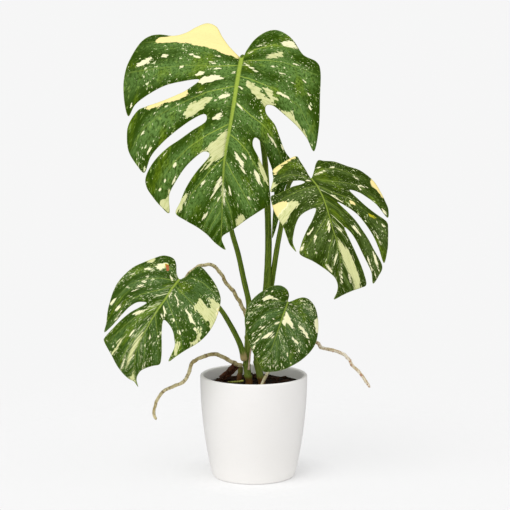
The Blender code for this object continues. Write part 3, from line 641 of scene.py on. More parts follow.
def tube_faces(rings, sides):
    """Faces of a tube of rings of points, closed by fans to its two end points, which come last."""
    faces = []
    for low in range(0, (rings - 1) * sides, sides):
        for side in range(sides):
            after = (side + 1) % sides
            faces.append((low + side, low + after, low + sides + after, low + sides + side))
    last, foot, tip = (rings - 1) * sides, rings * sides, rings * sides + 1
    for side in range(sides):
        after = (side + 1) % sides
        faces += [(foot, after, side), (tip, last + side, last + after)]
    return faces


def two_skins(cells, border, count):
    """Faces of a sheet whose back skin has its points count after those of its front skin."""
    faces = [tuple(cell) for cell in cells]
    faces += [tuple(corner + count for corner in reversed(cell)) for cell in cells]
    faces += [(b, a, a + count, b + count) for a, b in border]
    return faces


def line_ahead(line):
    """The unit direction of a line at each of its points."""
    ahead = np.gradient(line, axis=0)
    return ahead / np.linalg.norm(ahead, axis=1)[:, None]


def write_places(piece, name, values):
    """Stores one vector for each point of a piece, for its material to read."""
    stored = piece.data.attributes.new(name, "FLOAT_VECTOR", "POINT")
    stored.data.foreach_set("vector", np.asarray(values, np.float32).ravel())


# Wiring of materials.


class Wiring:
    """Adds shader nodes to a tree and joins them. A plain value is set on its socket."""

    def __init__(self, tree):
        self.tree = tree

    def add(self, kind, inputs=(), **settings):
        node = self.tree.nodes.new("ShaderNode" + kind)
        for name, value in settings.items():
            setattr(node, name, value)
        for key, value in dict(inputs).items():
            self.join(value, node.inputs[key])
        return node

    def join(self, value, socket):
        if isinstance(value, bpy.types.NodeSocket):
            self.tree.links.new(value, socket)
        else:
            socket.default_value = value

    def math(self, operation, *values, clamp=False):
        node = self.add("Math", enumerate(values), operation=operation, use_clamp=clamp)
        return node.outputs[0]

    def blend(self, amount, first, second):
        return self.add("Mix", {0: amount, 6: first, 7: second}, data_type="RGBA").outputs[2]

    def tint(self, colour, mask, strength, over):
        """The colour with another over it where the mask shows, at a strength."""
        return self.blend(self.math("MULTIPLY", mask, strength), colour, over)

    def ramp(self, value, low, high, start=0.0, end=1.0):
        inputs = {0: value, 1: low, 2: high, 3: start, 4: end}
        return self.add("MapRange", inputs, interpolation_type="SMOOTHSTEP").outputs[0]

    def parts(self, vector):
        return self.add("SeparateXYZ", {0: vector}).outputs

    def stretched(self, vector, factors):
        return self.add("VectorMath", {0: vector, 1: factors}, operation="MULTIPLY").outputs[0]

    def scaled(self, vector, factor):
        return self.add("VectorMath", {0: vector, "Scale": factor}, operation="SCALE").outputs[0]

    def noise(self, vector, factors, detail=2.0, roughness=0.5):
        inputs = {"Vector": self.stretched(vector, factors), "Scale": 1.0, "Detail": detail,
                  "Roughness": roughness}
        return self.add("TexNoise", inputs).outputs[0]

    def stored(self, name):
        return self.add("Attribute", attribute_name=name).outputs["Vector"]


def rgb(red, green, blue):
    """A linear colour with alpha from 8-bit display values."""
    parts = [value / 255 for value in (red, green, blue)]
    linear = [part / 12.92 if part <= 0.04045 else ((part + 0.055) / 1.055) ** 2.4
              for part in parts]
    return (*linear, 1.0)


def grey(level):
    return (level, level, level, 1.0)


def start_group(name, inputs, outputs):
    """A new node group with its sockets, as a wiring, its inputs by name and its output node."""
    tree = bpy.data.node_groups.new(name, "ShaderNodeTree")
    for label, kind, value in inputs:
        socket = tree.interface.new_socket(name=label, in_out="INPUT",
                                           socket_type="NodeSocket" + kind)
        if value is not None:
            socket.default_value = value
    for label, kind in outputs:
        tree.interface.new_socket(name=label, in_out="OUTPUT", socket_type="NodeSocket" + kind)
    wiring = Wiring(tree)
    given = tree.nodes.new("NodeGroupInput").outputs
    return wiring, given, tree.nodes.new("NodeGroupOutput").inputs


def group(name, build):
    """The node group of this name, built the first time that it is asked for."""
    return bpy.data.node_groups.get(name) or build(name)


def start_material(name):
    material = bpy.data.materials.new(name)
    material.use_nodes = True
    return material, Wiring(material.node_tree), material.node_tree.nodes["Principled BSDF"]


def join_surface(wiring, shader, colour, roughness, height, depth, gloss=0.5):
    """Feeds a shader its colour, roughness, bump as deep as given in metres, and its gloss."""
    bump = wiring.add("Bump", {"Height": height, "Distance": depth, "Strength": 1.0})
    wiring.join(colour, shader.inputs["Base Color"])
    wiring.join(roughness, shader.inputs["Roughness"])
    wiring.join(bump.outputs[0], shader.inputs["Normal"])
    shader.inputs["Specular IOR Level"].default_value = gloss


def build_fibre_grain(name):
    """Fine lengthwise fibres with broad stains: places are (along, around, seed) in mm."""
    wiring, given, put = start_group(
        name,
        (("Place", "Vector", None), ("Fibre", "Float", 1.0), ("Stain", "Float", 0.05)),
        (("Fibres", "Float"), ("Stains", "Float"), ("Flecks", "Float")),
    )
    scaled = wiring.scaled(given["Place"], given["Fibre"])
    wiring.join(wiring.noise(scaled, (0.12, 1.5, 1.0), 3.0, 0.6), put["Fibres"])
    broad = wiring.scaled(given["Place"], given["Stain"])
    wiring.join(wiring.noise(broad, (1.0, 2.0, 1.0), 2.0, 0.5), put["Stains"])
    flecks = wiring.noise(scaled, (0.55, 1.1, 1.0), 1.0, 0.5)
    wiring.join(wiring.ramp(flecks, 0.60, 0.68), put["Flecks"])
    return wiring.tree


def fibre_grain(wiring, place, fibre, stain):
    """The outputs of the fibre grain at these places, at two scales."""
    tree = group("Fibre grain", build_fibre_grain)
    inputs = {"Place": place, "Fibre": fibre, "Stain": stain}
    return wiring.add("Group", inputs, node_tree=tree).outputs


def build_variegation(name):
    """A blade's colour, gloss and relief from its vein places, cream areas and margin."""
    wiring, given, put = start_group(
        name,
        (("Grain", "Vector", None), ("Veins", "Vector", None), ("Areas", "Vector", None),
         ("Form", "Vector", None), ("Margin Shade Green", "Color", None), ("Middle Sheen Green", "Color", None),
         ("Vein Green", "Color", None), ("Under Green", "Color", None), ("Speckling", "Float", 1.0),
         ("Rib Width", "Float", 3.0), ("Fineness", "Float", 1.0), ("Vein Strength", "Float", 1.0)),
        (("Colour", "Color"), ("Roughness", "Float"), ("Height", "Float")),
    )
    grain = given["Grain"]
    phase, spacing, rib = wiring.parts(given["Veins"])
    cream_depth, tone, margin = wiring.parts(given["Areas"])
    under, down, _ = wiring.parts(given["Form"])
    speck_grain = wiring.scaled(grain, given["Fineness"])
    streaks = wiring.noise(grain, (0.60, 0.10, 1.0), 3.0, 0.58)
    fine = wiring.noise(grain, (0.95, 0.34, 1.0), 3.0, 0.6)
    broad = wiring.noise(grain, (0.035, 0.022, 1.0), 2.0, 0.5)

    # Saturated green by the margin, darkened there as painted shade, and greyer green in the middle
    # as a painted sheen, with streaks along the veins.
    panel = wiring.math("SINE", wiring.math("MULTIPLY_ADD", phase, math.tau, 0.9))
    inward = wiring.math("MINIMUM", margin, 26.0)
    inward = wiring.math("MULTIPLY_ADD", broad, 60.0, inward)
    inward = wiring.math("MULTIPLY_ADD", streaks, 36.0, inward)
    # A painted sheen on one part of each panel between side veins and painted shade on the other.
    inward = wiring.math("MULTIPLY_ADD", panel, 13.0, inward)
    middle = wiring.ramp(inward, 46.0, 84.0)
    colour = wiring.blend(middle, given["Margin Shade Green"], given["Middle Sheen Green"])
    lime = wiring.noise(grain, (0.05, 0.03, 3.1), 3.0, 0.6)
    colour = wiring.tint(colour, wiring.ramp(lime, 0.54, 0.66), 0.6, rgb(112, 138, 24))
    dark = wiring.math("MULTIPLY", wiring.ramp(fine, 0.54, 0.38), 0.8)
    colour = wiring.blend(dark, colour, wiring.blend(0.5, given["Margin Shade Green"], rgb(40, 60, 2)))
    light = wiring.noise(speck_grain, (0.55, 0.17, 1.0), 3.0, 0.6)
    colour = wiring.tint(colour, wiring.ramp(light, 0.56, 0.70), 0.55, rgb(148, 178, 84))

    # Small cream specks, drawn out along the veins and gathered in drifts.
    drift = wiring.noise(grain, (0.07, 0.05, 1.0), 1.0, 0.5)
    bar = wiring.math("MULTIPLY_ADD", drift, -0.30, 0.915)
    bar = wiring.math("MULTIPLY_ADD", given["Speckling"], -0.10, bar)
    specks = wiring.noise(speck_grain, (0.62, 0.22, 1.7), 1.5, 0.5)
    dots = wiring.noise(speck_grain, (0.90, 0.62, 2.3), 1.0, 0.5)
    specks = wiring.ramp(wiring.math("SUBTRACT", specks, bar), 0.0, 0.02)
    dots = wiring.ramp(wiring.math("SUBTRACT", dots, bar), 0.015, 0.04)
    specks = wiring.math("MAXIMUM", specks, wiring.math("MULTIPLY", dots, 0.85))
    colour = wiring.blend(specks, colour, rgb(222, 228, 176))

    # Large cream areas with torn edges, finely streaked with green where they are pale.
    ragged = wiring.math("DIVIDE", wiring.ramp(tone, 0.0, 0.25, 15.0, 8.5), given["Fineness"])
    torn = wiring.math("MULTIPLY_ADD", wiring.math("SUBTRACT", streaks, 0.5), ragged, cream_depth)
    torn = wiring.math("MULTIPLY_ADD", wiring.math("SUBTRACT", fine, 0.5), 2.2, torn)
    cream = wiring.blend(wiring.ramp(tone, 0.0, 0.25), rgb(220, 222, 162), rgb(248, 245, 200))
    cream = wiring.blend(wiring.ramp(tone, 0.25, 0.5), cream, rgb(249, 232, 160))
    deeper = wiring.math("MULTIPLY", wiring.ramp(margin, 4.5, 0.5), wiring.ramp(tone, 0.3, 0.5))
    cream = wiring.tint(cream, deeper, 0.35, rgb(250, 228, 140))
    cream = wiring.blend(wiring.ramp(tone, 0.5, 0.75), cream, rgb(188, 184, 44))
    cream = wiring.blend(wiring.ramp(tone, 0.8, 1.0), cream, rgb(178, 98, 62))
    thin = wiring.noise(grain, (1.1, 0.12, 5.0), 3.0, 0.6)
    thin = wiring.math("MULTIPLY", wiring.ramp(thin, 0.46, 0.68), wiring.ramp(tone, 0.3, 0.0))
    cream = wiring.tint(cream, thin, 0.7, rgb(174, 184, 108))
    cream = wiring.tint(cream, wiring.ramp(fine, 0.5, 0.7), 0.14, rgb(206, 178, 112))
    creamy = wiring.ramp(torn, -0.3, 0.35)
    colour = wiring.blend(creamy, colour, cream)

    # Lime midrib and side veins that thin out towards the margin.
    nearest = wiring.math("ABSOLUTE", wiring.math("SUBTRACT", phase, wiring.math("ROUND", phase)))
    away = wiring.math("MULTIPLY", nearest, spacing)
    across = wiring.math("ABSOLUTE", rib)
    line = wiring.ramp(away, 1.0, 0.1)
    for value, *limits in ((across, 80.0, 2.0, 0.20, 0.80), (margin, 1.0, 9.0),
                           (down, 1.0, 0.35, 0.25, 1.0), (creamy, 0.0, 1.0, 1.0, 0.15)):
        line = wiring.math("MULTIPLY", line, wiring.ramp(value, *limits))
    line = wiring.math("MULTIPLY", line, given["Vein Strength"])
    colour = wiring.blend(line, colour, given["Vein Green"])
    width = wiring.math("MULTIPLY", wiring.ramp(down, 0.0, 1.0, 1.0, 0.2), given["Rib Width"])
    beside = wiring.ramp(wiring.math("DIVIDE", across, width), 2.4, 1.1)
    colour = wiring.tint(colour, beside, 0.30, given["Margin Shade Green"])
    rib_line = wiring.ramp(wiring.math("DIVIDE", across, width), 1.25, 0.45)
    rib_shade = wiring.blend(wiring.ramp(streaks, 0.35, 0.75), given["Vein Green"],
                             rgb(142, 166, 62))
    faint = wiring.ramp(down, 1.0, 0.1, 0.40, 1.0)
    faint = wiring.math("MULTIPLY", faint, wiring.ramp(given["Vein Strength"], 0.0, 1.0, 0.5, 1.0))
    colour = wiring.tint(colour, rib_line, faint, rib_shade)

    # A thin pale rim round the blade, and the paler, duller underside.
    colour = wiring.tint(colour, wiring.ramp(margin, 0.9, 0.1), 0.45, rgb(150, 166, 84))
    below = wiring.blend(0.62, colour, given["Under Green"])
    colour = wiring.blend(under, colour, below)
    wiring.join(colour, put["Colour"])

    rough = wiring.ramp(fine, 0.3, 0.7, 0.36, 0.50)
    rough = wiring.math("MULTIPLY_ADD", creamy, 0.06, rough)
    rough = wiring.math("MULTIPLY_ADD", under, 0.14, rough)
    wiring.join(rough, put["Roughness"])
    minor = wiring.math("PINGPONG", wiring.math("MULTIPLY", phase, 5.0), 0.5)
    height = wiring.math("MULTIPLY_ADD", minor, 0.5, wiring.math("MULTIPLY", fine, 0.7))
    height = wiring.math("MULTIPLY_ADD", streaks, 0.6, height)
    height = wiring.math("SUBTRACT", height, wiring.math("MULTIPLY", line, 0.5))
    wiring.join(height, put["Height"])
    return wiring.tree


def make_blade_finish(name, tones, look):
    """Variegated leaf skin. Each leaf has its own greens and its own amount of specks."""
    material, wiring, shader = start_material(name)
    margin, middle, speckling, rib_width, fineness, veins = tones
    inputs = {label: wiring.stored("blade_" + label.lower())
              for label in ("Grain", "Veins", "Areas", "Form")}
    # The margin green carries painted shade and the middle green a painted sheen.
    greens = {"Margin Shade Green": margin, "Middle Sheen Green": middle, "Vein Green": look.vein_green,
              "Under Green": look.under_green}
    inputs |= {label: (*green, 1.0) for label, green in greens.items()}
    inputs |= {"Speckling": speckling, "Rib Width": rib_width, "Fineness": fineness,
               "Vein Strength": veins}
    variegation = group("Variegation", build_variegation)
    skin = wiring.add("Group", inputs, node_tree=variegation).outputs
    join_surface(wiring, shader, skin["Colour"], skin["Roughness"], skin["Height"],
                 look.skin_relief, gloss=0.04)
    return material


# Blades.


def blade_axes(design):
    """The joint in metres, and unit vectors across, along and out of the blade."""
    joint = Vector(design["joint"]) * MM + Vector((0, 0, SOIL_Z))
    along = Vector(design["towards"]).normalized()
    out = Vector((0, -1, 0))
    out = (out - out.dot(along) * along).normalized()
    out = out * math.cos(design["roll"]) - along.cross(out) * math.sin(design["roll"])
    return joint, out.cross(along), along, out


def blade_height(design, places):
    """How far the blade stands forward of its own plane at each (u, v), in mm."""
    tip = max(point[1] for point in design["outline"])
    u, v = places.T
    height = 4 * design["bow"] * v * (tip - v) / tip**2 - 4 * design["droop"] * (u / tip) ** 2
    lobe = design["lobe"]
    if lobe:
        run = (places - lobe["root"]) @ lobe["run"]
        start, inward, width = lobe["hinge"]
        weight = smooth_step((places - start) @ inward, 0, width)
        weight *= inside(places, lobe["region"])
        fall = 1 - np.exp(-((np.maximum(0, run) / lobe["reach"]) ** 2))
        height -= lobe["step_back"] * weight * fall
    return height


def blade_points(design, places, forward):
    """Points of the blade in metres. Forward is measured out of the blade, in mm."""
    joint, across, along, out = (np.array(part) for part in blade_axes(design))
    scale = design["length"] / max(point[1] for point in design["outline"])
    height = blade_height(design, places) * scale + forward * MM
    return joint + np.outer(places[:, 0] * scale, across) + np.outer(places[:, 1] * scale, along) \
        + np.outer(height, out)


def vein_heights(vein, u):
    """The v at which a side vein passes each u, carried straight on past its ends."""
    line = np.array(sorted(vein), float)
    slopes = np.diff(line[:, 1]) / np.diff(line[:, 0])
    found = np.interp(u, line[:, 0], line[:, 1])
    found += np.minimum(0, u - line[0, 0]) * slopes[0]
    return found + np.maximum(0, u - line[-1, 0]) * slopes[-1]


def vein_phase(veins, places):
    """A number that is whole on each side vein and rises by one from vein to vein."""
    u, v = places.T
    heights = np.array([vein_heights(vein, u) for vein in veins])
    heights = np.maximum.accumulate(heights + 0.01 * np.arange(len(veins))[:, None], axis=0)
    phase = (np.minimum(0, v - heights[0]) + np.maximum(0, v - heights[-1])) / VEIN_GAP_BEYOND
    for low, high in zip(heights, heights[1:]):
        phase += np.clip((v - low) / np.maximum(3.0, high - low), 0, 1)
    return phase


def blade_veins(design, places):
    """Each place's vein phase, the gap between veins there and its distance right of the midrib."""
    midrib = np.array(design["midrib"], float)
    rib = places[:, 0] - np.interp(places[:, 1], midrib[:, 1], midrib[:, 0])
    nudge = 0.5

    def phase_at(moved):
        left = vein_phase(design["veins"]["left"], moved)
        right = vein_phase(design["veins"]["right"], moved)
        return np.where(rib < 0, left, right)

    phase = phase_at(places)
    slope_u = (phase_at(places + (nudge, 0)) - phase) / nudge
    slope_v = (phase_at(places + (0, nudge)) - phase) / nudge
    slope = np.clip(np.hypot(slope_u, slope_v), 1 / WIDEST_VEIN_GAP, 1 / NARROWEST_VEIN_GAP)
    return phase, 1 / slope, rib


def cream_areas(design, places):
    """How deep each place lies inside a cream area, and that area's tone."""
    depth = np.full(len(places), FAR_FROM_CREAM)
    tone = np.zeros(len(places))
    for shade, corners in design["blotches"]:
        away = distance_to_line(places, corners, closed=True)
        here = np.where(inside(places, corners), away, -away)
        if shade == RUST:
            here += RUST_LEAD * (here > 0)
        tone = np.where(here > depth, shade, tone)
        depth = np.maximum(depth, here)
    for u0, v0, u1, v1, width in design["streaks"]:
        start = np.array((u0, v0), float)
        run = np.array((u1, v1)) - start
        t = np.clip((places - start) @ run / (run @ run), 0, 1)
        away = np.hypot(*(places - start - t[:, None] * run).T)
        here = 0.5 * width * (1 - 0.6 * (2 * t - 1) ** 2) - away
        tone = np.where(here > depth, CREAM, tone)
        depth = np.maximum(depth, here)
    return depth, tone


def blade_mesh(design, step):
    """The margin, the midrib and a field of points between them, joined into triangles."""
    margin = smooth_line(design["outline"], 0.8 * step, closed=True)
    midrib = smooth_line(design["midrib"], step)
    midrib = midrib[distance_to_line(midrib, margin, closed=True) > 0.5 * step]
    low, high = margin.min(axis=0), margin.max(axis=0)
    rows = np.arange(low[1], high[1], step * math.sqrt(0.75))
    columns = np.arange(low[0], high[0], step)
    field = [(u + 0.5 * step * (row % 2), v) for row, v in enumerate(rows) for u in columns]
    field = np.array(field)
    field = field[inside(field, margin)]
    field = field[distance_to_line(field, margin, closed=True) > 0.55 * step]
    field = field[distance_to_line(field, midrib) > 0.6 * step]
    flat = [Vector(point) for point in (*margin, *midrib, *field)]
    border = [(corner, (corner + 1) % len(margin)) for corner in range(len(margin))]
    flat, _, cells, *_ = delaunay_2d_cdt(flat, border, [], 1, 1e-5)
    return np.array(flat), np.array(cells), margin


def make_blade(name, design, finish, look):
    """A thin leaf with an impressed midrib, swollen panels between its veins and a wavy margin."""
    places, cells, margin = blade_mesh(design, look.mesh_step / MM)
    edges = places[cells]
    turn = np.cross(edges[:, 1] - edges[:, 0], edges[:, 2] - edges[:, 0])
    cells = np.where((turn > 0)[:, None], cells[:, ::-1], cells)

    phase, spacing, rib = blade_veins(design, places)
    edge = distance_to_line(places, margin, closed=True)
    tip = places[:, 1].max()
    down = np.clip(places[:, 1] / tip, 0, 1)
    depth, tone = cream_areas(design, places)
    seed = 10.0 * int(name[-1])

    slim = 1 - MIDRIB_SLIMMING * down
    groove = np.exp(-((rib / (GROOVE_WIDTH * slim)) ** 2))
    panel = 0.5 - 0.5 * np.cos(math.tau * phase)
    calm = smooth_step(np.abs(rib), 1, 14) * smooth_step(edge, 0, 7)
    wave = np.sin(places[:, 0] * 0.11 + seed) + np.sin(places[:, 1] * 0.083 + 2 * seed)
    near_margin = 1 - smooth_step(edge, 0, MARGIN_WAVE_REACH)
    relief = look.panel_swell / MM * panel * calm * np.minimum(1, spacing / 20)
    relief += MARGIN_WAVE * wave * near_margin * smooth_step(edge, 0.0, 3.0)
    relief -= look.midrib_depth / MM * groove * slim
    half = BLADE_THICKNESS / 2 / MM * smooth_step(edge + 1.2, 0, 2.5)
    ridge = RIDGE_HEIGHT * slim * np.exp(-((rib / (RIDGE_WIDTH * slim)) ** 2))
    ridge *= smooth_step(edge, 0, 4)

    front = blade_points(design, places, relief + half)
    back = blade_points(design, places, relief - half - ridge)
    count = len(places)
    cells = cells.tolist()
    sides = {(a, b) for cell in cells for a, b in zip(cell, (*cell[1:], cell[0]))}
    border = [(a, b) for a, b in sorted(sides) if (b, a) not in sides]
    faces = two_skins(cells, border, count)
    blade = add_piece(name + "_blade", np.vstack([front, back]), faces, finish,
                      [name])

    side = np.where(rib < 0, -1.0, 1.0)
    gap = min(WIDEST_GRAIN_GAP, float(np.median(spacing)))
    along = np.hypot(rib, 0.55 * (places[:, 1] - gap * phase)) * side
    both_skins = {
        "blade_grain": (phase * gap + 3 * seed, along, np.full(count, seed)),
        "blade_veins": (phase, spacing, rib),
        "blade_areas": (depth, tone, edge),
    }
    for place_name, columns in both_skins.items():
        write_places(blade, place_name, np.tile(np.column_stack(columns), (2, 1)))
    form = np.column_stack([np.repeat((0.0, 1.0), count), np.tile(down, 2), np.zeros(2 * count)])
    write_places(blade, "blade_form", form)


# Stems, stalks and roots.


def route_in_plant(route):
    """A route in metres from points in mm about the soil's middle."""
    return [(point[0] * MM, point[1] * MM, SOIL_Z + (point[2] if len(point) > 2 else 0.6) * MM)
            for point in route]


def make_tube(name, route, radius_at, finish, node, sides=24, step=0.0012, roughen=None):
    """A tube along a smooth route, with round ends. radius_at takes the distance from the start
    and from the end, in metres, and an array of angles, and gives a radius for each angle."""
    line = smooth_line(route, step)
    if roughen:
        line = roughen(line)
    ahead = line_ahead(line)
    travelled = np.concatenate([[0], np.cumsum(np.linalg.norm(np.diff(line, axis=0), axis=1))])
    length = travelled[-1]
    angles = math.tau * np.arange(sides) / sides
    side_way = np.cross(ahead[0], (0, 1, 0.3))
    points = []
    places = []
    for centre, way, gone in zip(line, ahead, travelled):
        side_way = side_way - side_way.dot(way) * way
        side_way /= np.linalg.norm(side_way)
        other = np.cross(way, side_way)
        radii = radius_at(gone, length - gone, angles)
        for angle, radius in zip(angles, np.broadcast_to(radii, sides)):
            points.append(centre + radius * (side_way * math.cos(angle)
                                             + other * math.sin(angle)))
            places.append((gone / MM, 3.2 * math.sin(angle / 2) * radius / MM, radius / MM))
    points += [line[0], line[-1]]
    places += [(0, 0, 0), (length / MM, 0, 0)]
    piece = add_piece(name, points, tube_faces(len(line), sides), finish, [node])
    write_places(piece, "stalk_place", places)


def rounded_end(distance, radius):
    """How much of its full radius a tube has at a distance from its round end."""
    t = min(1.0, distance / (0.8 * radius) + 0.04)
    return math.sqrt(max(0.0, 1 - (1 - t) ** 2))


def stalk_radius(radii, channel, wings, knee):
    """A leaf stalk's radius: a clasping winged foot, a channel on its inner side and a knee."""

    def radius_at(gone, left, angles):
        t = gone / (gone + left)
        radius = radii[0] + (radii[1] - radii[0]) * t
        foot = FOOT_SWELL * math.exp(-((gone / FOOT_LENGTH) ** 2))
        radius *= 1 + foot + knee * math.exp(-((left / KNEE_LENGTH) ** 2))
        radius *= 1 + 0.012 * math.sin(gone * 310) + 0.010 * math.sin(gone * 127 + 1)
        side = np.cos(angles - math.pi / 2)
        shape = 1 - channel * np.exp(-((1 - side) / 0.10))
        lips = np.exp(-(((side - 0.72) / 0.12) ** 2))
        fade = max(0.0, 1 - t / 0.45)
        shape = shape + wings * fade * lips + 0.012 * np.cos(7 * angles)
        return radius * shape * rounded_end(gone, radius) * rounded_end(left, radius)

    return radius_at


def stem_radius(radii, knuckles):
    """A stem's radius, with a raised ring and a leaf scar at each knuckle, given in metres."""

    def radius_at(gone, left, angles):
        radius = radii[0] + (radii[1] - radii[0]) * gone / (gone + left)
        for place in knuckles:
            away = gone - place
            tilt = 0.0012 * np.cos(angles + 40 * place)
            radius = radius * (1 + 0.16 * np.exp(-(((away - tilt) / 0.0022) ** 2)))
            radius = radius * (1 - 0.07 * np.exp(-(((away - tilt - 0.0032) / 0.0012) ** 2)))
        radius = radius * (1 + 0.015 * np.cos(5 * angles + gone * 60))
        return radius * rounded_end(left, radii[1])

    return radius_at


def root_radius(radii, ring_gap, seed):
    """A root's radius, with uneven rings, small warts and a tapered tip."""
    random = np.random.default_rng(seed)
    rings = np.cumsum(random.uniform(0.6, 1.5, 60)) * ring_gap
    sizes = random.uniform(0.04, 0.17, 60)

    def radius_at(gone, left, angles):
        radius = radii[0] + (radii[1] - radii[0]) * gone / (gone + left)
        swell = (sizes * np.exp(-(((gone - rings) / 0.0009) ** 2))).sum()
        warts = 0.05 * np.sin(3 * angles + gone * 900 + seed) * np.sin(2 * angles - gone * 640)
        radius = radius * (1 + swell + warts + 0.03 * math.sin(gone * 410 + seed))
        return radius * rounded_end(left, radii[1] * 3) * rounded_end(gone, radii[0])

    return radius_at


def kinked(seed, amount):
    """Moves a root's line about by small, smooth, uneven bends."""

    def roughen(line):
        random = np.random.default_rng(seed)
        places = np.arange(len(line))
        knots = np.arange(0, len(line) + 8, 6)
        bends = random.normal(0, amount, (len(knots), 3))
        moved = np.column_stack([np.interp(places, knots, bend) for bend in bends.T])
        calm = np.minimum(1, np.minimum(places, len(line) - 1 - places) / 6)
        return line + moved * calm[:, None]

    return roughen


def make_stalk_finish(name, look):
    """Waxy green skin with lengthwise fibres, a paler stripe, faint flecks and a stained foot."""
    material, wiring, shader = start_material(name)
    green, dark, stripe, foot = (rgb(*colour) for colour in STALK_SKINS[name])
    place = wiring.stored("stalk_place")
    along = wiring.parts(place)[0]
    grain = fibre_grain(wiring, place, 1.0, 0.06)
    colour = wiring.blend(wiring.ramp(grain["Fibres"], 0.3, 0.7), dark, green)
    stripes = wiring.noise(place, (0.012, 0.9, 1.0), 1.0, 0.5)
    colour = wiring.tint(colour, wiring.ramp(stripes, 0.48, 0.66), 0.5, stripe)
    colour = wiring.tint(colour, wiring.ramp(grain["Stains"], 0.55, 0.75), 0.45, rgb(104, 92, 40))
    colour = wiring.tint(colour, grain["Flecks"], 0.35, rgb(150, 168, 84))
    edge = wiring.math("MULTIPLY_ADD", grain["Fibres"], -14.0, along)
    colour = wiring.tint(colour, wiring.ramp(edge, 8.0, -1.0), 0.85, foot)
    rough = wiring.ramp(grain["Fibres"], 0.3, 0.7, 0.34, 0.48)
    join_surface(wiring, shader, colour, rough, grain["Fibres"], look.fibre_relief, gloss=0.15)
    return material


def make_root_finish(name, look):
    """Corky skin: lengthwise cracks, broad stains between two tones, and dark ring scars."""
    material, wiring, shader = start_material(name)
    pale, tan, dark = (rgb(*colour) for colour in ROOT_SKINS[name])
    place = wiring.stored("stalk_place")
    grain = fibre_grain(wiring, place, 1.6, 0.10)
    colour = wiring.blend(wiring.ramp(grain["Stains"], 0.36, 0.62), tan, pale)
    colour = wiring.tint(colour, wiring.ramp(grain["Fibres"], 0.46, 0.34), 0.65, dark)
    rings = wiring.ramp(wiring.noise(place, (0.42, 0.10, 1.0), 2.0, 0.6), 0.56, 0.66)
    colour = wiring.tint(colour, rings, 0.75, dark)
    colour = wiring.tint(colour, grain["Flecks"], 0.35, rgb(206, 196, 156))
    rough = wiring.ramp(grain["Fibres"], 0.3, 0.7, 0.62, 0.82)
    height = wiring.math("MULTIPLY_ADD", grain["Flecks"], 0.5, grain["Fibres"])
    join_surface(wiring, shader, colour, rough, height, look.crack_relief, gloss=0.2)
    return material


# Pot, soil and bark.


def pot_radius(height):
    """The outer radius of the pot at a height above the floor."""
    return POT_TOP_RADIUS - POT_NARROWING * ((POT_HEIGHT - height) / POT_HEIGHT) ** 2


def rounded_corner(centre, radius, start, end):
    """Points on an arc about (radius, height), its angles in degrees from straight outwards."""
    angles = np.radians(np.linspace(start, end, CORNER_POINTS))
    return [(centre[0] + radius * math.cos(a), centre[1] + radius * math.sin(a)) for a in angles]


def turned_mesh(profile, sides):
    """Points and faces of a closed turned solid whose profile starts and ends on the axis."""
    points = []
    rings = []
    for radius, height in profile:
        count = 1 if radius == 0 else sides
        rings.append(range(len(points), len(points) + count))
        for side in range(count):
            angle = math.tau * side / sides
            points.append((radius * math.cos(angle), radius * math.sin(angle), height))
    faces = []
    for low, high in zip(rings, rings[1:]):
        for side in range(sides):
            after = (side + 1) % sides
            if len(low) == 1:
                faces.append((low[0], high[after], high[side]))
            elif len(high) == 1:
                faces.append((low[side], low[after], high[0]))
            else:
                faces.append((low[side], low[after], high[after], high[side]))
    return points, faces


def make_glaze_finish(look):
    """Satin white glaze: faint mottling, painted shade that leaves it warmer and darker low down,
    and fine orange peel.
    """
    material, wiring, shader = start_material("satin_glaze")
    place = wiring.add("TexCoord").outputs["Object"]
    mottle = wiring.noise(place, (22.0, 22.0, 22.0), 3.0, 0.55)
    peel = wiring.noise(place, (420.0, 420.0, 420.0), 2.0, 0.5)
    pits = wiring.noise(place, (900.0, 900.0, 900.0), 0.0, 0.5)
    height = wiring.parts(place)[2]
    colour = wiring.blend(wiring.ramp(mottle, 0.2, 0.8, 0.0, 0.35), (*look.glaze, 1.0),
                          (*look.glaze_mottle_and_shade, 1.0))
    # Painted shade: the glaze turns warmer and darker towards the foot.
    low = wiring.ramp(height, POT_HEIGHT, 0.0, 0.0, 0.30)
    colour = wiring.blend(low, colour, (*look.glaze_mottle_and_shade, 1.0))
    colour = wiring.tint(colour, wiring.ramp(pits, 0.76, 0.82), 0.10, rgb(150, 140, 124))
    rough = wiring.ramp(mottle, 0.3, 0.7, 0.38, 0.42)
    join_surface(wiring, shader, colour, rough, peel, GLAZE_RELIEF)
    shader.inputs["Coat Weight"].default_value = 0.25
    shader.inputs["Coat Roughness"].default_value = 0.22
    return material


def make_pot(look):
    """The pot: one turned body with a rounded lip and foot and a slightly dished underside."""
    lip, foot = POT_LIP_RADIUS, POT_FOOT_RADIUS
    rows = np.linspace(0, 1, POT_ROWS)[1:-1]
    profile = [(0, POT_DISH), (POT_DISH_RADIUS, POT_DISH), (POT_STANDING_RADIUS, 0)]
    profile += rounded_corner((pot_radius(0) - foot, foot), foot, -90, 0)
    for row in rows:
        height = foot + (POT_HEIGHT - lip - foot) * row
        profile.append((pot_radius(height), height))
    profile += rounded_corner((POT_TOP_RADIUS - lip, POT_HEIGHT - lip), lip, 0, 90)
    inner = POT_TOP_RADIUS - POT_WALL
    profile += rounded_corner((inner + lip, POT_HEIGHT - lip), lip, 90, 180)
    for row in rows:
        height = POT_HEIGHT - lip - (POT_HEIGHT - lip - POT_FLOOR - foot) * row
        profile.append((pot_radius(height) - POT_WALL, height))
    edge = pot_radius(POT_FLOOR) - POT_WALL
    profile += rounded_corner((edge - foot, POT_FLOOR + foot), foot, 0, -90)
    profile.append((0, POT_FLOOR))
    points, faces = turned_mesh(profile, look.pot_sides)
    add_piece("pot_glazed", points, faces, make_glaze_finish(look), ["pot"])


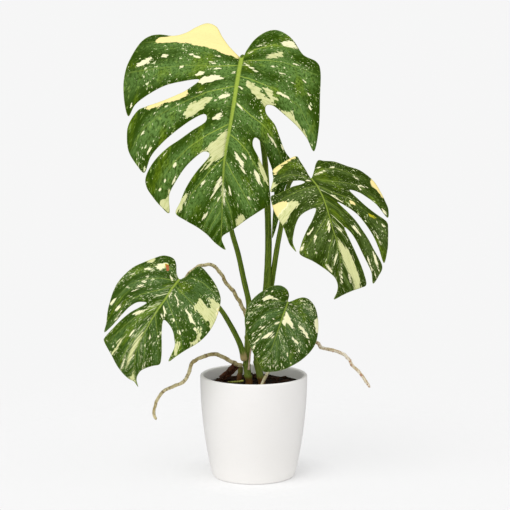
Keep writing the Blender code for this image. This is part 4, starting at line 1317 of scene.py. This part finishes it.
def make_soil_finish(look):
    """Damp peat and bark fines: near-black crumbs between reddish fibres and a few pale grains."""
    material, wiring, shader = start_material("damp_potting_mix")
    place = wiring.add("TexCoord").outputs["Object"]
    crumbs = wiring.add("TexVoronoi", {"Vector": place, "Scale": 420.0}).outputs[0]
    lumps = wiring.noise(place, (150.0, 150.0, 150.0), 4.0, 0.65)
    fines = wiring.noise(place, (900.0, 900.0, 900.0), 2.0, 0.6)
    colour = wiring.blend(wiring.ramp(lumps, 0.38, 0.66), (*look.soil_dark, 1.0),
                          (*look.soil_brown, 1.0))
    red = wiring.noise(place, (330.0, 210.0, 260.0), 2.0, 0.5)
    colour = wiring.tint(colour, wiring.ramp(red, 0.58, 0.68), 0.6, rgb(84, 50, 30))
    colour = wiring.tint(colour, wiring.ramp(fines, 0.70, 0.76), 0.55, rgb(140, 126, 96))
    rough = wiring.ramp(lumps, 0.3, 0.7, 0.72, 0.96)
    height = wiring.math("MULTIPLY_ADD", fines, 0.5, wiring.math("SUBTRACT", lumps, crumbs))
    join_surface(wiring, shader, colour, rough, height, SOIL_RELIEF, gloss=0.1)
    return material


def soil_height(x, y):
    """The uneven top of the soil, level in the middle where the stems stand."""
    away = np.minimum(1.0, np.hypot(x, y) / (POT_TOP_RADIUS - POT_WALL))
    waves = np.sin(x * 170 + 1.3) * np.cos(y * 150 - 0.4) + np.sin((x - y) * 95)
    return SOIL_Z + 0.0008 * waves * away


def make_soil(look):
    """The soil: a body that fills the pot, its top thrown up in small lumps and hollows."""
    gap = POT_WALL + SOIL_EDGE_GAP
    random = np.random.default_rng(SOIL_SEED)
    low = POT_FLOOR + SOIL_FLOOR_GAP
    profile = [(0, low)]
    for height in np.linspace(low, SOIL_Z - 0.0017, 7):
        profile.append((pot_radius(height) - gap, height))
    edge = pot_radius(SOIL_Z) - gap
    first_of_top = 1 + SOIL_SIDES * (len(profile) - 1)
    profile += [(edge * ring / SOIL_RINGS, SOIL_Z) for ring in range(SOIL_RINGS, -1, -1)]
    points, faces = turned_mesh(profile, SOIL_SIDES)
    points = np.array(points)
    top = np.arange(len(points)) >= first_of_top
    x, y = points[top, 0], points[top, 1]
    lumps = np.zeros(len(x))
    for _ in range(SOIL_WAVES):
        angle = random.uniform(0, math.tau)
        pace = random.uniform(350, 1500)
        lumps += np.sin((x * math.cos(angle) + y * math.sin(angle)) * pace
                        + random.uniform(0, math.tau)) / SOIL_WAVES**0.5
    away = np.hypot(x, y)
    calm = smooth_step(edge - away, 0, 0.003)
    points[top, 2] = soil_height(x, y) + look.soil_lumps * lumps * (0.3 + 0.7 * calm)
    add_piece("soil_bed", points, faces, make_soil_finish(look), ["potting_soil"])


def make_bark_finish(look):
    """Weathered bark: layered lengthwise grain from dark red-brown to tan."""
    material, wiring, shader = start_material("weathered_bark")
    place = wiring.stored("bark_place")
    layers = wiring.noise(place, (0.30, 1.6, 2.4), 4.0, 0.65)
    pieces = wiring.noise(place, (0.02, 0.02, 0.02), 0.0, 0.5)
    colour = wiring.blend(wiring.ramp(layers, 0.36, 0.64), (*look.bark_dark, 1.0),
                          (*look.bark_red, 1.0))
    colour = wiring.tint(colour, wiring.ramp(layers, 0.60, 0.74), 0.7, rgb(128, 90, 58))
    colour = wiring.blend(wiring.ramp(pieces, 0.42, 0.62, 0.0, 0.5), colour, (*look.bark_dark, 1.0))
    rough = wiring.ramp(layers, 0.3, 0.7, 0.70, 0.92)
    join_surface(wiring, shader, colour, rough, layers, BARK_RELIEF, gloss=0.1)
    return material


def bark_bit(random, length, width, thickness):
    """A split flake of bark: an uneven six-sided slab in three layers, as points and faces."""
    outline = [(0.5, 0.08), (0.30, 0.46), (-0.22, 0.5), (-0.5, 0.16), (-0.40, -0.42), (0.28, -0.5)]
    layers = ((0.0, 0.72), (0.12, 0.95), (0.35, 0.90), (0.55, 1.0), (0.85, 0.86), (1.0, 0.60))
    around = []
    for (x0, y0), (x1, y1) in zip(outline, (*outline[1:], outline[0])):
        around += [(x0 + (x1 - x0) * t, y0 + (y1 - y0) * t) for t in (0, 0.33, 0.67)]
    ragged = random.uniform(0.88, 1.08, len(around))
    points = []
    for level, spread in layers:
        shift = random.uniform(-0.03, 0.03, 2)
        for (x, y), rag in zip(around, ragged):
            wobble = random.uniform(0.95, 1.05)
            points.append(((x * spread * rag * wobble + shift[0]) * length,
                           (y * spread * rag * wobble + shift[1]) * width,
                           (level + random.uniform(-0.05, 0.05)) * thickness))
    points += [(0, 0, 0), (0, 0, 1.04 * thickness)]
    return np.array(points), tube_faces(len(layers), len(around))


def turn_about(points, tilt, lean, turn):
    """Points turned about x, then y, then z, by angles in radians."""
    cx, sx, cy, sy, cz, sz = (f(a) for a in (tilt, lean, turn) for f in (math.cos, math.sin))
    about_x = np.array(((1, 0, 0), (0, cx, -sx), (0, sx, cx)))
    about_y = np.array(((cy, 0, sy), (0, 1, 0), (-sy, 0, cy)))
    about_z = np.array(((cz, -sz, 0), (sz, cz, 0), (0, 0, 1)))
    return points @ (about_z @ about_y @ about_x).T


def add_bits(name, bits, finish, nodes, place_name, smooth=True):
    """One piece made of several bits, each given as points, faces and places for its finish."""
    points = []
    faces = []
    places = []
    for shape, own_faces, own_places in bits:
        faces += [tuple(corner + len(points) for corner in face) for face in own_faces]
        points += list(shape)
        places += list(own_places)
    piece = add_piece(name, points, faces, finish, nodes, smooth)
    write_places(piece, place_name, places)


def set_down(shape, turns, distance, angle, lift):
    """A shape turned and laid on the soil at a distance and an angle from the pot's middle."""
    x, y = distance * math.cos(angle), distance * math.sin(angle)
    return turn_about(shape, *turns) + (x, y, soil_height(x, y) + lift)


def make_bark(look):
    """Bark chips near the rim, and a litter of smaller flakes and crumbs over the soil."""
    random = np.random.default_rng(BARK_SEED)
    finish = make_bark_finish(look)
    chips = []
    for number in range(len(CHIP_NODES)):
        angle = math.tau * (number * GOLDEN_TURN + 0.12)
        size = 0.8 + 0.4 * math.sin(number * 2.4) ** 2
        shape, faces = bark_bit(random, CHIP_LENGTH * size, CHIP_WIDTH * size, CHIP_THICKNESS)
        turns = (random.uniform(-0.15, 0.15), random.uniform(-0.12, 0.12), angle * 2.3)
        moved = set_down(shape, turns, CHIP_RING_RADIUS, angle, 0.0008)
        chips.append((moved, faces, shape / MM + number * GRAIN_SHIFT))
    add_bits("bark_chips", chips, finish, CHIP_NODES, "bark_place", smooth=False)

    litter = []
    reach = pot_radius(SOIL_Z) - POT_WALL - 0.0055
    for number in range(look.litter_count):
        away = reach * math.sqrt(random.uniform(0.02, 1))
        angle = random.uniform(0, math.tau)
        length = random.choice((0.003, 0.0045, 0.006, 0.0085), p=(0.4, 0.3, 0.2, 0.1))
        length *= random.uniform(0.8, 1.2)
        shape, faces = bark_bit(random, length, length * random.uniform(0.45, 0.8),
                                length * random.uniform(0.25, 0.5))
        turns = (random.normal(0, 0.35), random.normal(0, 0.3), random.uniform(0, math.tau))
        moved = set_down(shape, turns, away, angle, -0.0002)
        litter.append((moved, faces, shape / MM + number * GRAIN_SHIFT))
    add_bits("bark_litter", litter, finish, [], "bark_place", smooth=False)


# Rolled leaf and dry sheaths.


def rolled_radius(gone, left, angles):
    """A spindle of rolled blade: fat below the middle, drawn to a point, with its outer lap."""
    t = gone / (gone + left)
    radius = NEW_STALK_RADII[1] * (1 - t) + ROLLED_LEAF_RADIUS * math.sin(math.pi * t**0.8) ** 0.9
    radius = max(0.0006, radius) * 0.93
    seam = (angles + 2.4 * t + 0.6) % math.tau / math.tau
    lap = 0.14 * seam**2 - 0.05
    second = 0.05 * np.exp(-(((angles + 2.4 * t + 3.9) % math.tau - 3.0) / 0.35) ** 2)
    return radius * (1 + lap + second + 0.01 * np.cos(9 * angles + 60 * gone))


def make_rolled_finish(look):
    """Tender pale green with fine lengthwise veins and cream flecks drawn out along the roll."""
    material, wiring, shader = start_material("tender_rolled_blade")
    place = wiring.stored("stalk_place")
    grain = fibre_grain(wiring, place, 1.3, 0.07)
    colour = wiring.blend(wiring.ramp(grain["Fibres"], 0.3, 0.7), rgb(92, 128, 40),
                          rgb(150, 182, 78))
    cream = wiring.noise(place, (0.07, 0.9, 1.0), 3.0, 0.6)
    colour = wiring.blend(wiring.ramp(cream, 0.58, 0.64), colour, rgb(228, 228, 168))
    colour = wiring.tint(colour, grain["Stains"], 0.25, rgb(70, 104, 30))
    rough = wiring.ramp(grain["Fibres"], 0.3, 0.7, 0.36, 0.50)
    join_surface(wiring, shader, colour, rough, grain["Fibres"], look.fibre_relief)
    return material


def sheath_strip(route, widths, curl, seed):
    """A thin papery strip along a route: curled across, frayed at its end, as points and faces."""
    random = np.random.default_rng(seed)
    line = smooth_line(route, 0.0010)
    across_steps = np.linspace(-1, 1, SHEATH_COLUMNS)
    frayed = random.uniform(0.75, 1.0, SHEATH_COLUMNS)
    points = []
    places = []
    for side in (1, -1):
        for row, (centre, way) in enumerate(zip(line, line_ahead(line))):
            t = row / (len(line) - 1)
            flat = np.cross(way, (0.0, -1.0, 0.35))
            flat /= np.linalg.norm(flat)
            up = np.cross(flat, way)
            width = (widths[0] + (widths[1] - widths[0]) * t) / 2
            width *= 1 + 0.10 * math.sin(t * 17 + seed)
            for step, fray in zip(across_steps, frayed):
                shorten = max(0.0, t - fray) * 0.6
                bend = curl * (1 - step * step) + 0.0003 * math.sin(t * 23 + step * 5 + seed)
                place = centre - way * shorten * 0.012 + flat * width * step
                points.append(place + up * (bend + side * SHEATH_THICKNESS / 2))
                places.append((t * len(line), step * width / MM, 5.0 * seed + side))
    number = np.arange(len(line) * SHEATH_COLUMNS).reshape(len(line), SHEATH_COLUMNS)
    corners = (number[:-1, :-1], number[:-1, 1:], number[1:, 1:], number[1:, :-1])
    cells = np.stack([corner.ravel() for corner in corners], axis=1).tolist()
    border = [*number[0], *number[1:, -1], *number[-1, -2::-1], *number[-2:0:-1, 0]]
    return points, two_skins(cells, zip(border, (*border[1:], border[0])), number.size), places


def make_sheath(name, routes, widths, curl, finish, node):
    """One or more papery strips joined as a single piece."""
    strips = [sheath_strip(route_in_plant(route), widths, curl, seed)
              for seed, route in enumerate(routes, start=2)]
    add_bits(name, strips, finish, [node], "stalk_place")


# Settings that a user would change.


def colour_property(name, description, default):
    return FloatVectorProperty(name=name, description=description, default=default[:3], size=3,
                               subtype="COLOR", min=0.0, max=1.0)


def length_property(name, description, default):
    return FloatProperty(name=name, description=description, default=default, unit="LENGTH",
                         min=0.0, precision=5)


class MONSTERA_PG_look(bpy.types.PropertyGroup):
    """Sizes and colours of the finished plant and its pot."""

    mesh_step: length_property("Blade mesh", "Spacing of the points in a blade", 0.0021)
    midrib_depth: length_property("Midrib depth", "How far a midrib is impressed", 0.0017)
    panel_swell: length_property("Panel swell", "How far a blade swells between veins", 0.0014)
    skin_relief: length_property("Skin relief", "Height of the fine relief of a blade", 0.00022)
    fibre_relief: length_property("Fibre relief", "Height of a stalk's fibres", 0.00010)
    crack_relief: length_property("Crack relief", "Depth of a root's cracks", 0.00030)
    soil_lumps: length_property("Soil lumps", "Height of the lumps in the soil", 0.0006)
    litter_count: IntProperty(name="Bark flakes", description="Small flakes on the soil",
                              default=420, min=1, max=900)
    pot_sides: IntProperty(name="Pot sides", description="Points round the pot", default=160,
                           min=24, max=256)
    vein_green: colour_property("Vein green", "Midribs and side veins", rgb(166, 188, 76))
    under_green: colour_property("Underside", "Underside of the blades", rgb(128, 154, 92))
    glaze: colour_property("Glaze", "Main colour of the pot", rgb(246, 244, 241))
    # Warmer, darker glaze colour, used for the mottling and for the painted shade low on the pot.
    glaze_mottle_and_shade: colour_property("Glaze shade", "Warmer colour in the glaze", rgb(240, 237, 232))
    soil_dark: colour_property("Soil dark", "Damp peat", rgb(13, 10, 6))
    soil_brown: colour_property("Soil brown", "Bark fines in the soil", rgb(42, 30, 18))
    bark_dark: colour_property("Bark dark", "Dark bark", rgb(26, 18, 11))
    bark_red: colour_property("Bark red", "Reddish bark", rgb(74, 46, 28))


class MONSTERA_PG_stage(bpy.types.PropertyGroup):
    """Floor, light and camera."""

    floor_tone: FloatProperty(name="Floor", description="How pale the floor is", default=0.885,
                              min=0.0, max=1.0)
    backdrop: FloatProperty(name="Backdrop", description="Brightness behind the plant",
                            default=0.923, min=0.0, max=2.0)
    fill: FloatProperty(name="Fill light", description="Even light from all round", default=0.73,
                        min=0.0, max=5.0)
    mirrored: FloatProperty(name="Mirrored light", description="Surroundings seen in gloss",
                            default=0.22, min=0.0, max=5.0)
    key: FloatProperty(name="Key light", description="Light from the upper left, in front",
                       default=1.48, min=0.0, max=20.0)
    lens: FloatProperty(name="Lens", description="Focal length", default=113.65, unit="CAMERA",
                        min=1.0)


# Operators.


class MONSTERA_OT_pot(bpy.types.Operator):
    """Make the glazed pot"""

    bl_idname = "monstera.pot"
    bl_label = "Make Pot"

    def execute(self, context):
        make_pot(context.scene.monstera_look)
        return {"FINISHED"}


class MONSTERA_OT_soil(bpy.types.Operator):
    """Make the potting soil, the bark chips and the litter on it"""

    bl_idname = "monstera.soil"
    bl_label = "Make Soil and Bark"

    def execute(self, context):
        look = context.scene.monstera_look
        make_soil(look)
        make_bark(look)
        return {"FINISHED"}


class MONSTERA_OT_stems(bpy.types.Operator):
    """Make the two stems and the stub of an old stalk"""

    bl_idname = "monstera.stems"
    bl_label = "Make Stems"

    def execute(self, context):
        look = context.scene.monstera_look
        finish = make_stalk_finish("stem_skin", look)
        for node, (route, knuckles) in STEMS.items():
            make_tube(node + "_skin", route_in_plant(route), stem_radius(STEM_RADII, knuckles),
                      finish, node)
        make_tube("old_stub_skin", route_in_plant(OLD_STALK_ROUTE),
                  stem_radius((0.0034, 0.0030), (0.006, 0.013)),
                  make_stalk_finish("stub_skin", look), "old_stalk_stub")
        return {"FINISHED"}


class MONSTERA_OT_stalks(bpy.types.Operator):
    """Make the four leaf stalks and the stalk of the new leaf"""

    bl_idname = "monstera.stalks"
    bl_label = "Make Stalks"

    def execute(self, context):
        look = context.scene.monstera_look
        finish = make_stalk_finish("stalk_skin", look)
        for number, (route, radii) in enumerate(STALKS, start=1):
            design = LEAVES[f"leaf_{number}"]
            clear = (BLADE_CAD_THICKNESS / 2 + STALK_GAP + radii[1]) / MM
            end = blade_points(design, np.array(((0.0, STALK_BEHIND_JOINT),)), -clear)[0]
            joined = [*route_in_plant(route), tuple(end)]
            make_tube(f"stalk_{number}_skin", joined, stalk_radius(radii, 0.20, 0.16, 0.10),
                      finish, f"stalk_leaf_{number}")
        make_tube("new_stalk_skin", route_in_plant(NEW_STALK_ROUTE),
                  stalk_radius(NEW_STALK_RADII, 0.16, 0.12, 0.0), finish,
                  "stalk_new_leaf")
        return {"FINISHED"}


class MONSTERA_OT_rolled_leaf(bpy.types.Operator):
    """Make the new leaf, still rolled up"""

    bl_idname = "monstera.rolled_leaf"
    bl_label = "Make Rolled Leaf"

    def execute(self, context):
        finish = make_rolled_finish(context.scene.monstera_look)
        foot = Vector(route_in_plant(NEW_STALK_ROUTE)[-1]) + Vector((0, 0, 0.0006))
        lean = Vector((0.02, -0.02, 1)).normalized()
        route = [foot + lean * ROLLED_LEAF_LENGTH * part / 4 for part in range(5)]
        make_tube("rolled_leaf_skin", route, rolled_radius, finish,
                  "new_leaf_rolled", sides=48)
        return {"FINISHED"}


class MONSTERA_OT_blades(bpy.types.Operator):
    """Make the four variegated leaves"""

    bl_idname = "monstera.blades"
    bl_label = "Make Leaves"

    def execute(self, context):
        look = context.scene.monstera_look
        for name, design in LEAVES.items():
            finish = make_blade_finish(name + "_skin", BLADE_TONES[name], look)
            make_blade(name, design, finish, look)
        return {"FINISHED"}


class MONSTERA_OT_roots(bpy.types.Operator):
    """Make the aerial roots and the young roots on the soil"""

    bl_idname = "monstera.roots"
    bl_label = "Make Roots"

    def execute(self, context):
        look = context.scene.monstera_look
        skins = {name: make_root_finish(name, look) for name in ROOT_SKINS if "root" in name}
        edge = (POT_TOP_RADIUS + ROOT_CLEAR_OF_RIM) / MM
        rim = SOIL_BELOW_RIM / MM
        fall = [(-(edge + out), y, rim + above) for out, y, above in ROOT_LEFT_FALL]
        for seed, (name, (skin, route)) in enumerate(ROOTS.items(), start=3):
            if name == "left":
                route = (*route, *fall)
            make_tube(f"root_{name}_skin", route_in_plant(route),
                      root_radius(ROOT_RADII, 0.0085, seed), skins[skin],
                      f"aerial_root_{name}", sides=20, step=0.0008,
                      roughen=kinked(seed, 0.00045))
        for name, (skin, slot, route, radii, gap, seed, sides) in YOUNG_ROOTS.items():
            make_tube(f"root_{name}_skin", route_in_plant(route), root_radius(radii, gap, seed),
                      skins[skin], f"soil_root_{name}", sides=sides, step=0.0006,
                      roughen=kinked(seed, 0.00012))
        return {"FINISHED"}


class MONSTERA_OT_sheaths(bpy.types.Operator):
    """Make the dry and the pale sheath remains at the foot of the stems"""

    bl_idname = "monstera.sheaths"
    bl_label = "Make Sheaths"

    def execute(self, context):
        look = context.scene.monstera_look
        dry = make_root_finish("dry_sheath_skin", look)
        strips = [[(x + 1.6 * shift, y + shift, z + 0.6 * shift * (shift - 1))
                   for x, y, z in DRY_SHEATH_ROUTE] for shift in (-1.6, -0.8, 0.0, 0.9, 1.8)]
        make_sheath("dry_sheath_strips", strips, (0.0062, 0.0044), 0.0012, dry, "dry_sheath")
        pale = make_root_finish("pale_sheath_skin", look)
        make_sheath("pale_sheath_strip", [PALE_SHEATH_ROUTE], (0.0030, 0.0013), 0.0005, pale,
                    "pale_sheath")
        return {"FINISHED"}


class MONSTERA_OT_stage(bpy.types.Operator):
    """Make the floor, the light and the camera"""

    bl_idname = "monstera.stage"
    bl_label = "Make Stage"

    def execute(self, context):
        settings = context.scene.monstera_stage
        make_floor(settings)
        make_lights(context.scene, settings)
        make_camera(context.scene, settings)
        return {"FINISHED"}


def make_floor(settings):
    """A pale matt disc that fades, evenly dithered, into the backdrop away from the plant."""
    material, wiring, shader = start_material("pale_floor")
    place = wiring.add("TexCoord").outputs["Object"]
    grain = wiring.noise(place, (160.0, 160.0, 160.0), 3.0, 0.6)
    tone = settings.floor_tone
    faint = (tone * 0.99, tone * 0.99, tone * 0.985, 1.0)
    wiring.join(wiring.blend(grain, grey(tone), faint), shader.inputs["Base Color"])
    away = wiring.add("VectorMath", {0: place}, operation="LENGTH").outputs["Value"]
    near = wiring.ramp(away, 0.05, 0.13, 0.80, 0.30)
    fade = wiring.math("MULTIPLY", near, wiring.ramp(away, 0.80, 0.20))
    dither = wiring.add("TexWhiteNoise", {0: place}).outputs["Value"]
    wiring.join(wiring.math("MULTIPLY", fade, wiring.math("ADD", dither, 0.5)),
                shader.inputs["Alpha"])
    shader.inputs["Roughness"].default_value = 0.95
    shader.inputs["Specular IOR Level"].default_value = 0.1
    angles = [math.tau * side / FLOOR_SIDES for side in range(FLOOR_SIDES)]
    points = [(FLOOR_RADIUS * math.cos(a), FLOOR_RADIUS * math.sin(a), 0) for a in angles]
    mesh = bpy.data.meshes.new("floor")
    mesh.from_pydata(points, [], [tuple(range(FLOOR_SIDES))])
    mesh.materials.append(material)
    floor = bpy.data.objects.new("floor", mesh)
    floor.location.z = -FLOOR_DROP
    bpy.context.scene.collection.objects.link(floor)


def make_lights(scene, settings):
    """Even light from all round, a soft key from the upper left and a plain bright backdrop."""
    world = bpy.data.worlds.new("studio")
    world.use_nodes = True
    wiring = Wiring(world.node_tree)
    background = world.node_tree.nodes["Background"]
    rays = wiring.add("LightPath").outputs
    fill = (settings.fill, settings.fill, settings.fill * 1.01, 1.0)
    light = wiring.blend(rays["Is Glossy Ray"], fill, grey(settings.mirrored))
    light = wiring.blend(rays["Is Camera Ray"], light, grey(settings.backdrop))
    wiring.join(light, background.inputs["Color"])
    scene.world = world
    for name, (share, angle, turn) in LIGHTS.items():
        sun = bpy.data.lights.new(name, "SUN")
        sun.energy = settings.key * share
        sun.angle = math.radians(angle)
        lamp = bpy.data.objects.new(name, sun)
        lamp.rotation_euler = [math.radians(part) for part in turn]
        scene.collection.objects.link(lamp)
    scene.view_settings.view_transform = "Standard"


def make_camera(scene, settings):
    camera = bpy.data.cameras.new("camera")
    camera.lens = settings.lens
    camera.sensor_width = SENSOR_WIDTH
    view = bpy.data.objects.new("camera", camera)
    view.location = CAMERA_PLACE
    view.rotation_euler = (math.radians(90 - CAMERA_DIP), 0, 0)
    scene.collection.objects.link(view)
    scene.camera = view


class MONSTERA_PT_panel(bpy.types.Panel):
    """Lists the steps that build the potted monstera"""

    bl_idname = "MONSTERA_PT_panel"
    bl_label = "Potted Monstera"
    bl_space_type = "VIEW_3D"
    bl_region_type = "UI"
    bl_category = "Monstera"

    def draw(self, context):
        for operator in STEPS:
            self.layout.operator(operator.bl_idname)
        for settings in (context.scene.monstera_look, context.scene.monstera_stage):
            box = self.layout.box()
            for name in settings.__annotations__:
                box.prop(settings, name)


STEPS = (
    MONSTERA_OT_stage,
    MONSTERA_OT_pot,
    MONSTERA_OT_soil,
    MONSTERA_OT_stems,
    MONSTERA_OT_stalks,
    MONSTERA_OT_rolled_leaf,
    MONSTERA_OT_blades,
    MONSTERA_OT_roots,
    MONSTERA_OT_sheaths,
)
CLASSES = (MONSTERA_PG_look, MONSTERA_PG_stage, *STEPS, MONSTERA_PT_panel)


def register():
    for made in CLASSES:
        bpy.utils.register_class(made)
    bpy.types.Scene.monstera_look = PointerProperty(type=MONSTERA_PG_look)
    bpy.types.Scene.monstera_stage = PointerProperty(type=MONSTERA_PG_stage)


def unregister():
    del bpy.types.Scene.monstera_stage
    del bpy.types.Scene.monstera_look
    for made in reversed(CLASSES):
        bpy.utils.unregister_class(made)


def main():
    register()
    for step in STEPS:
        family, action = step.bl_idname.split(".")
        getattr(getattr(bpy.ops, family), action)()


if __name__ == "__main__":
    main()
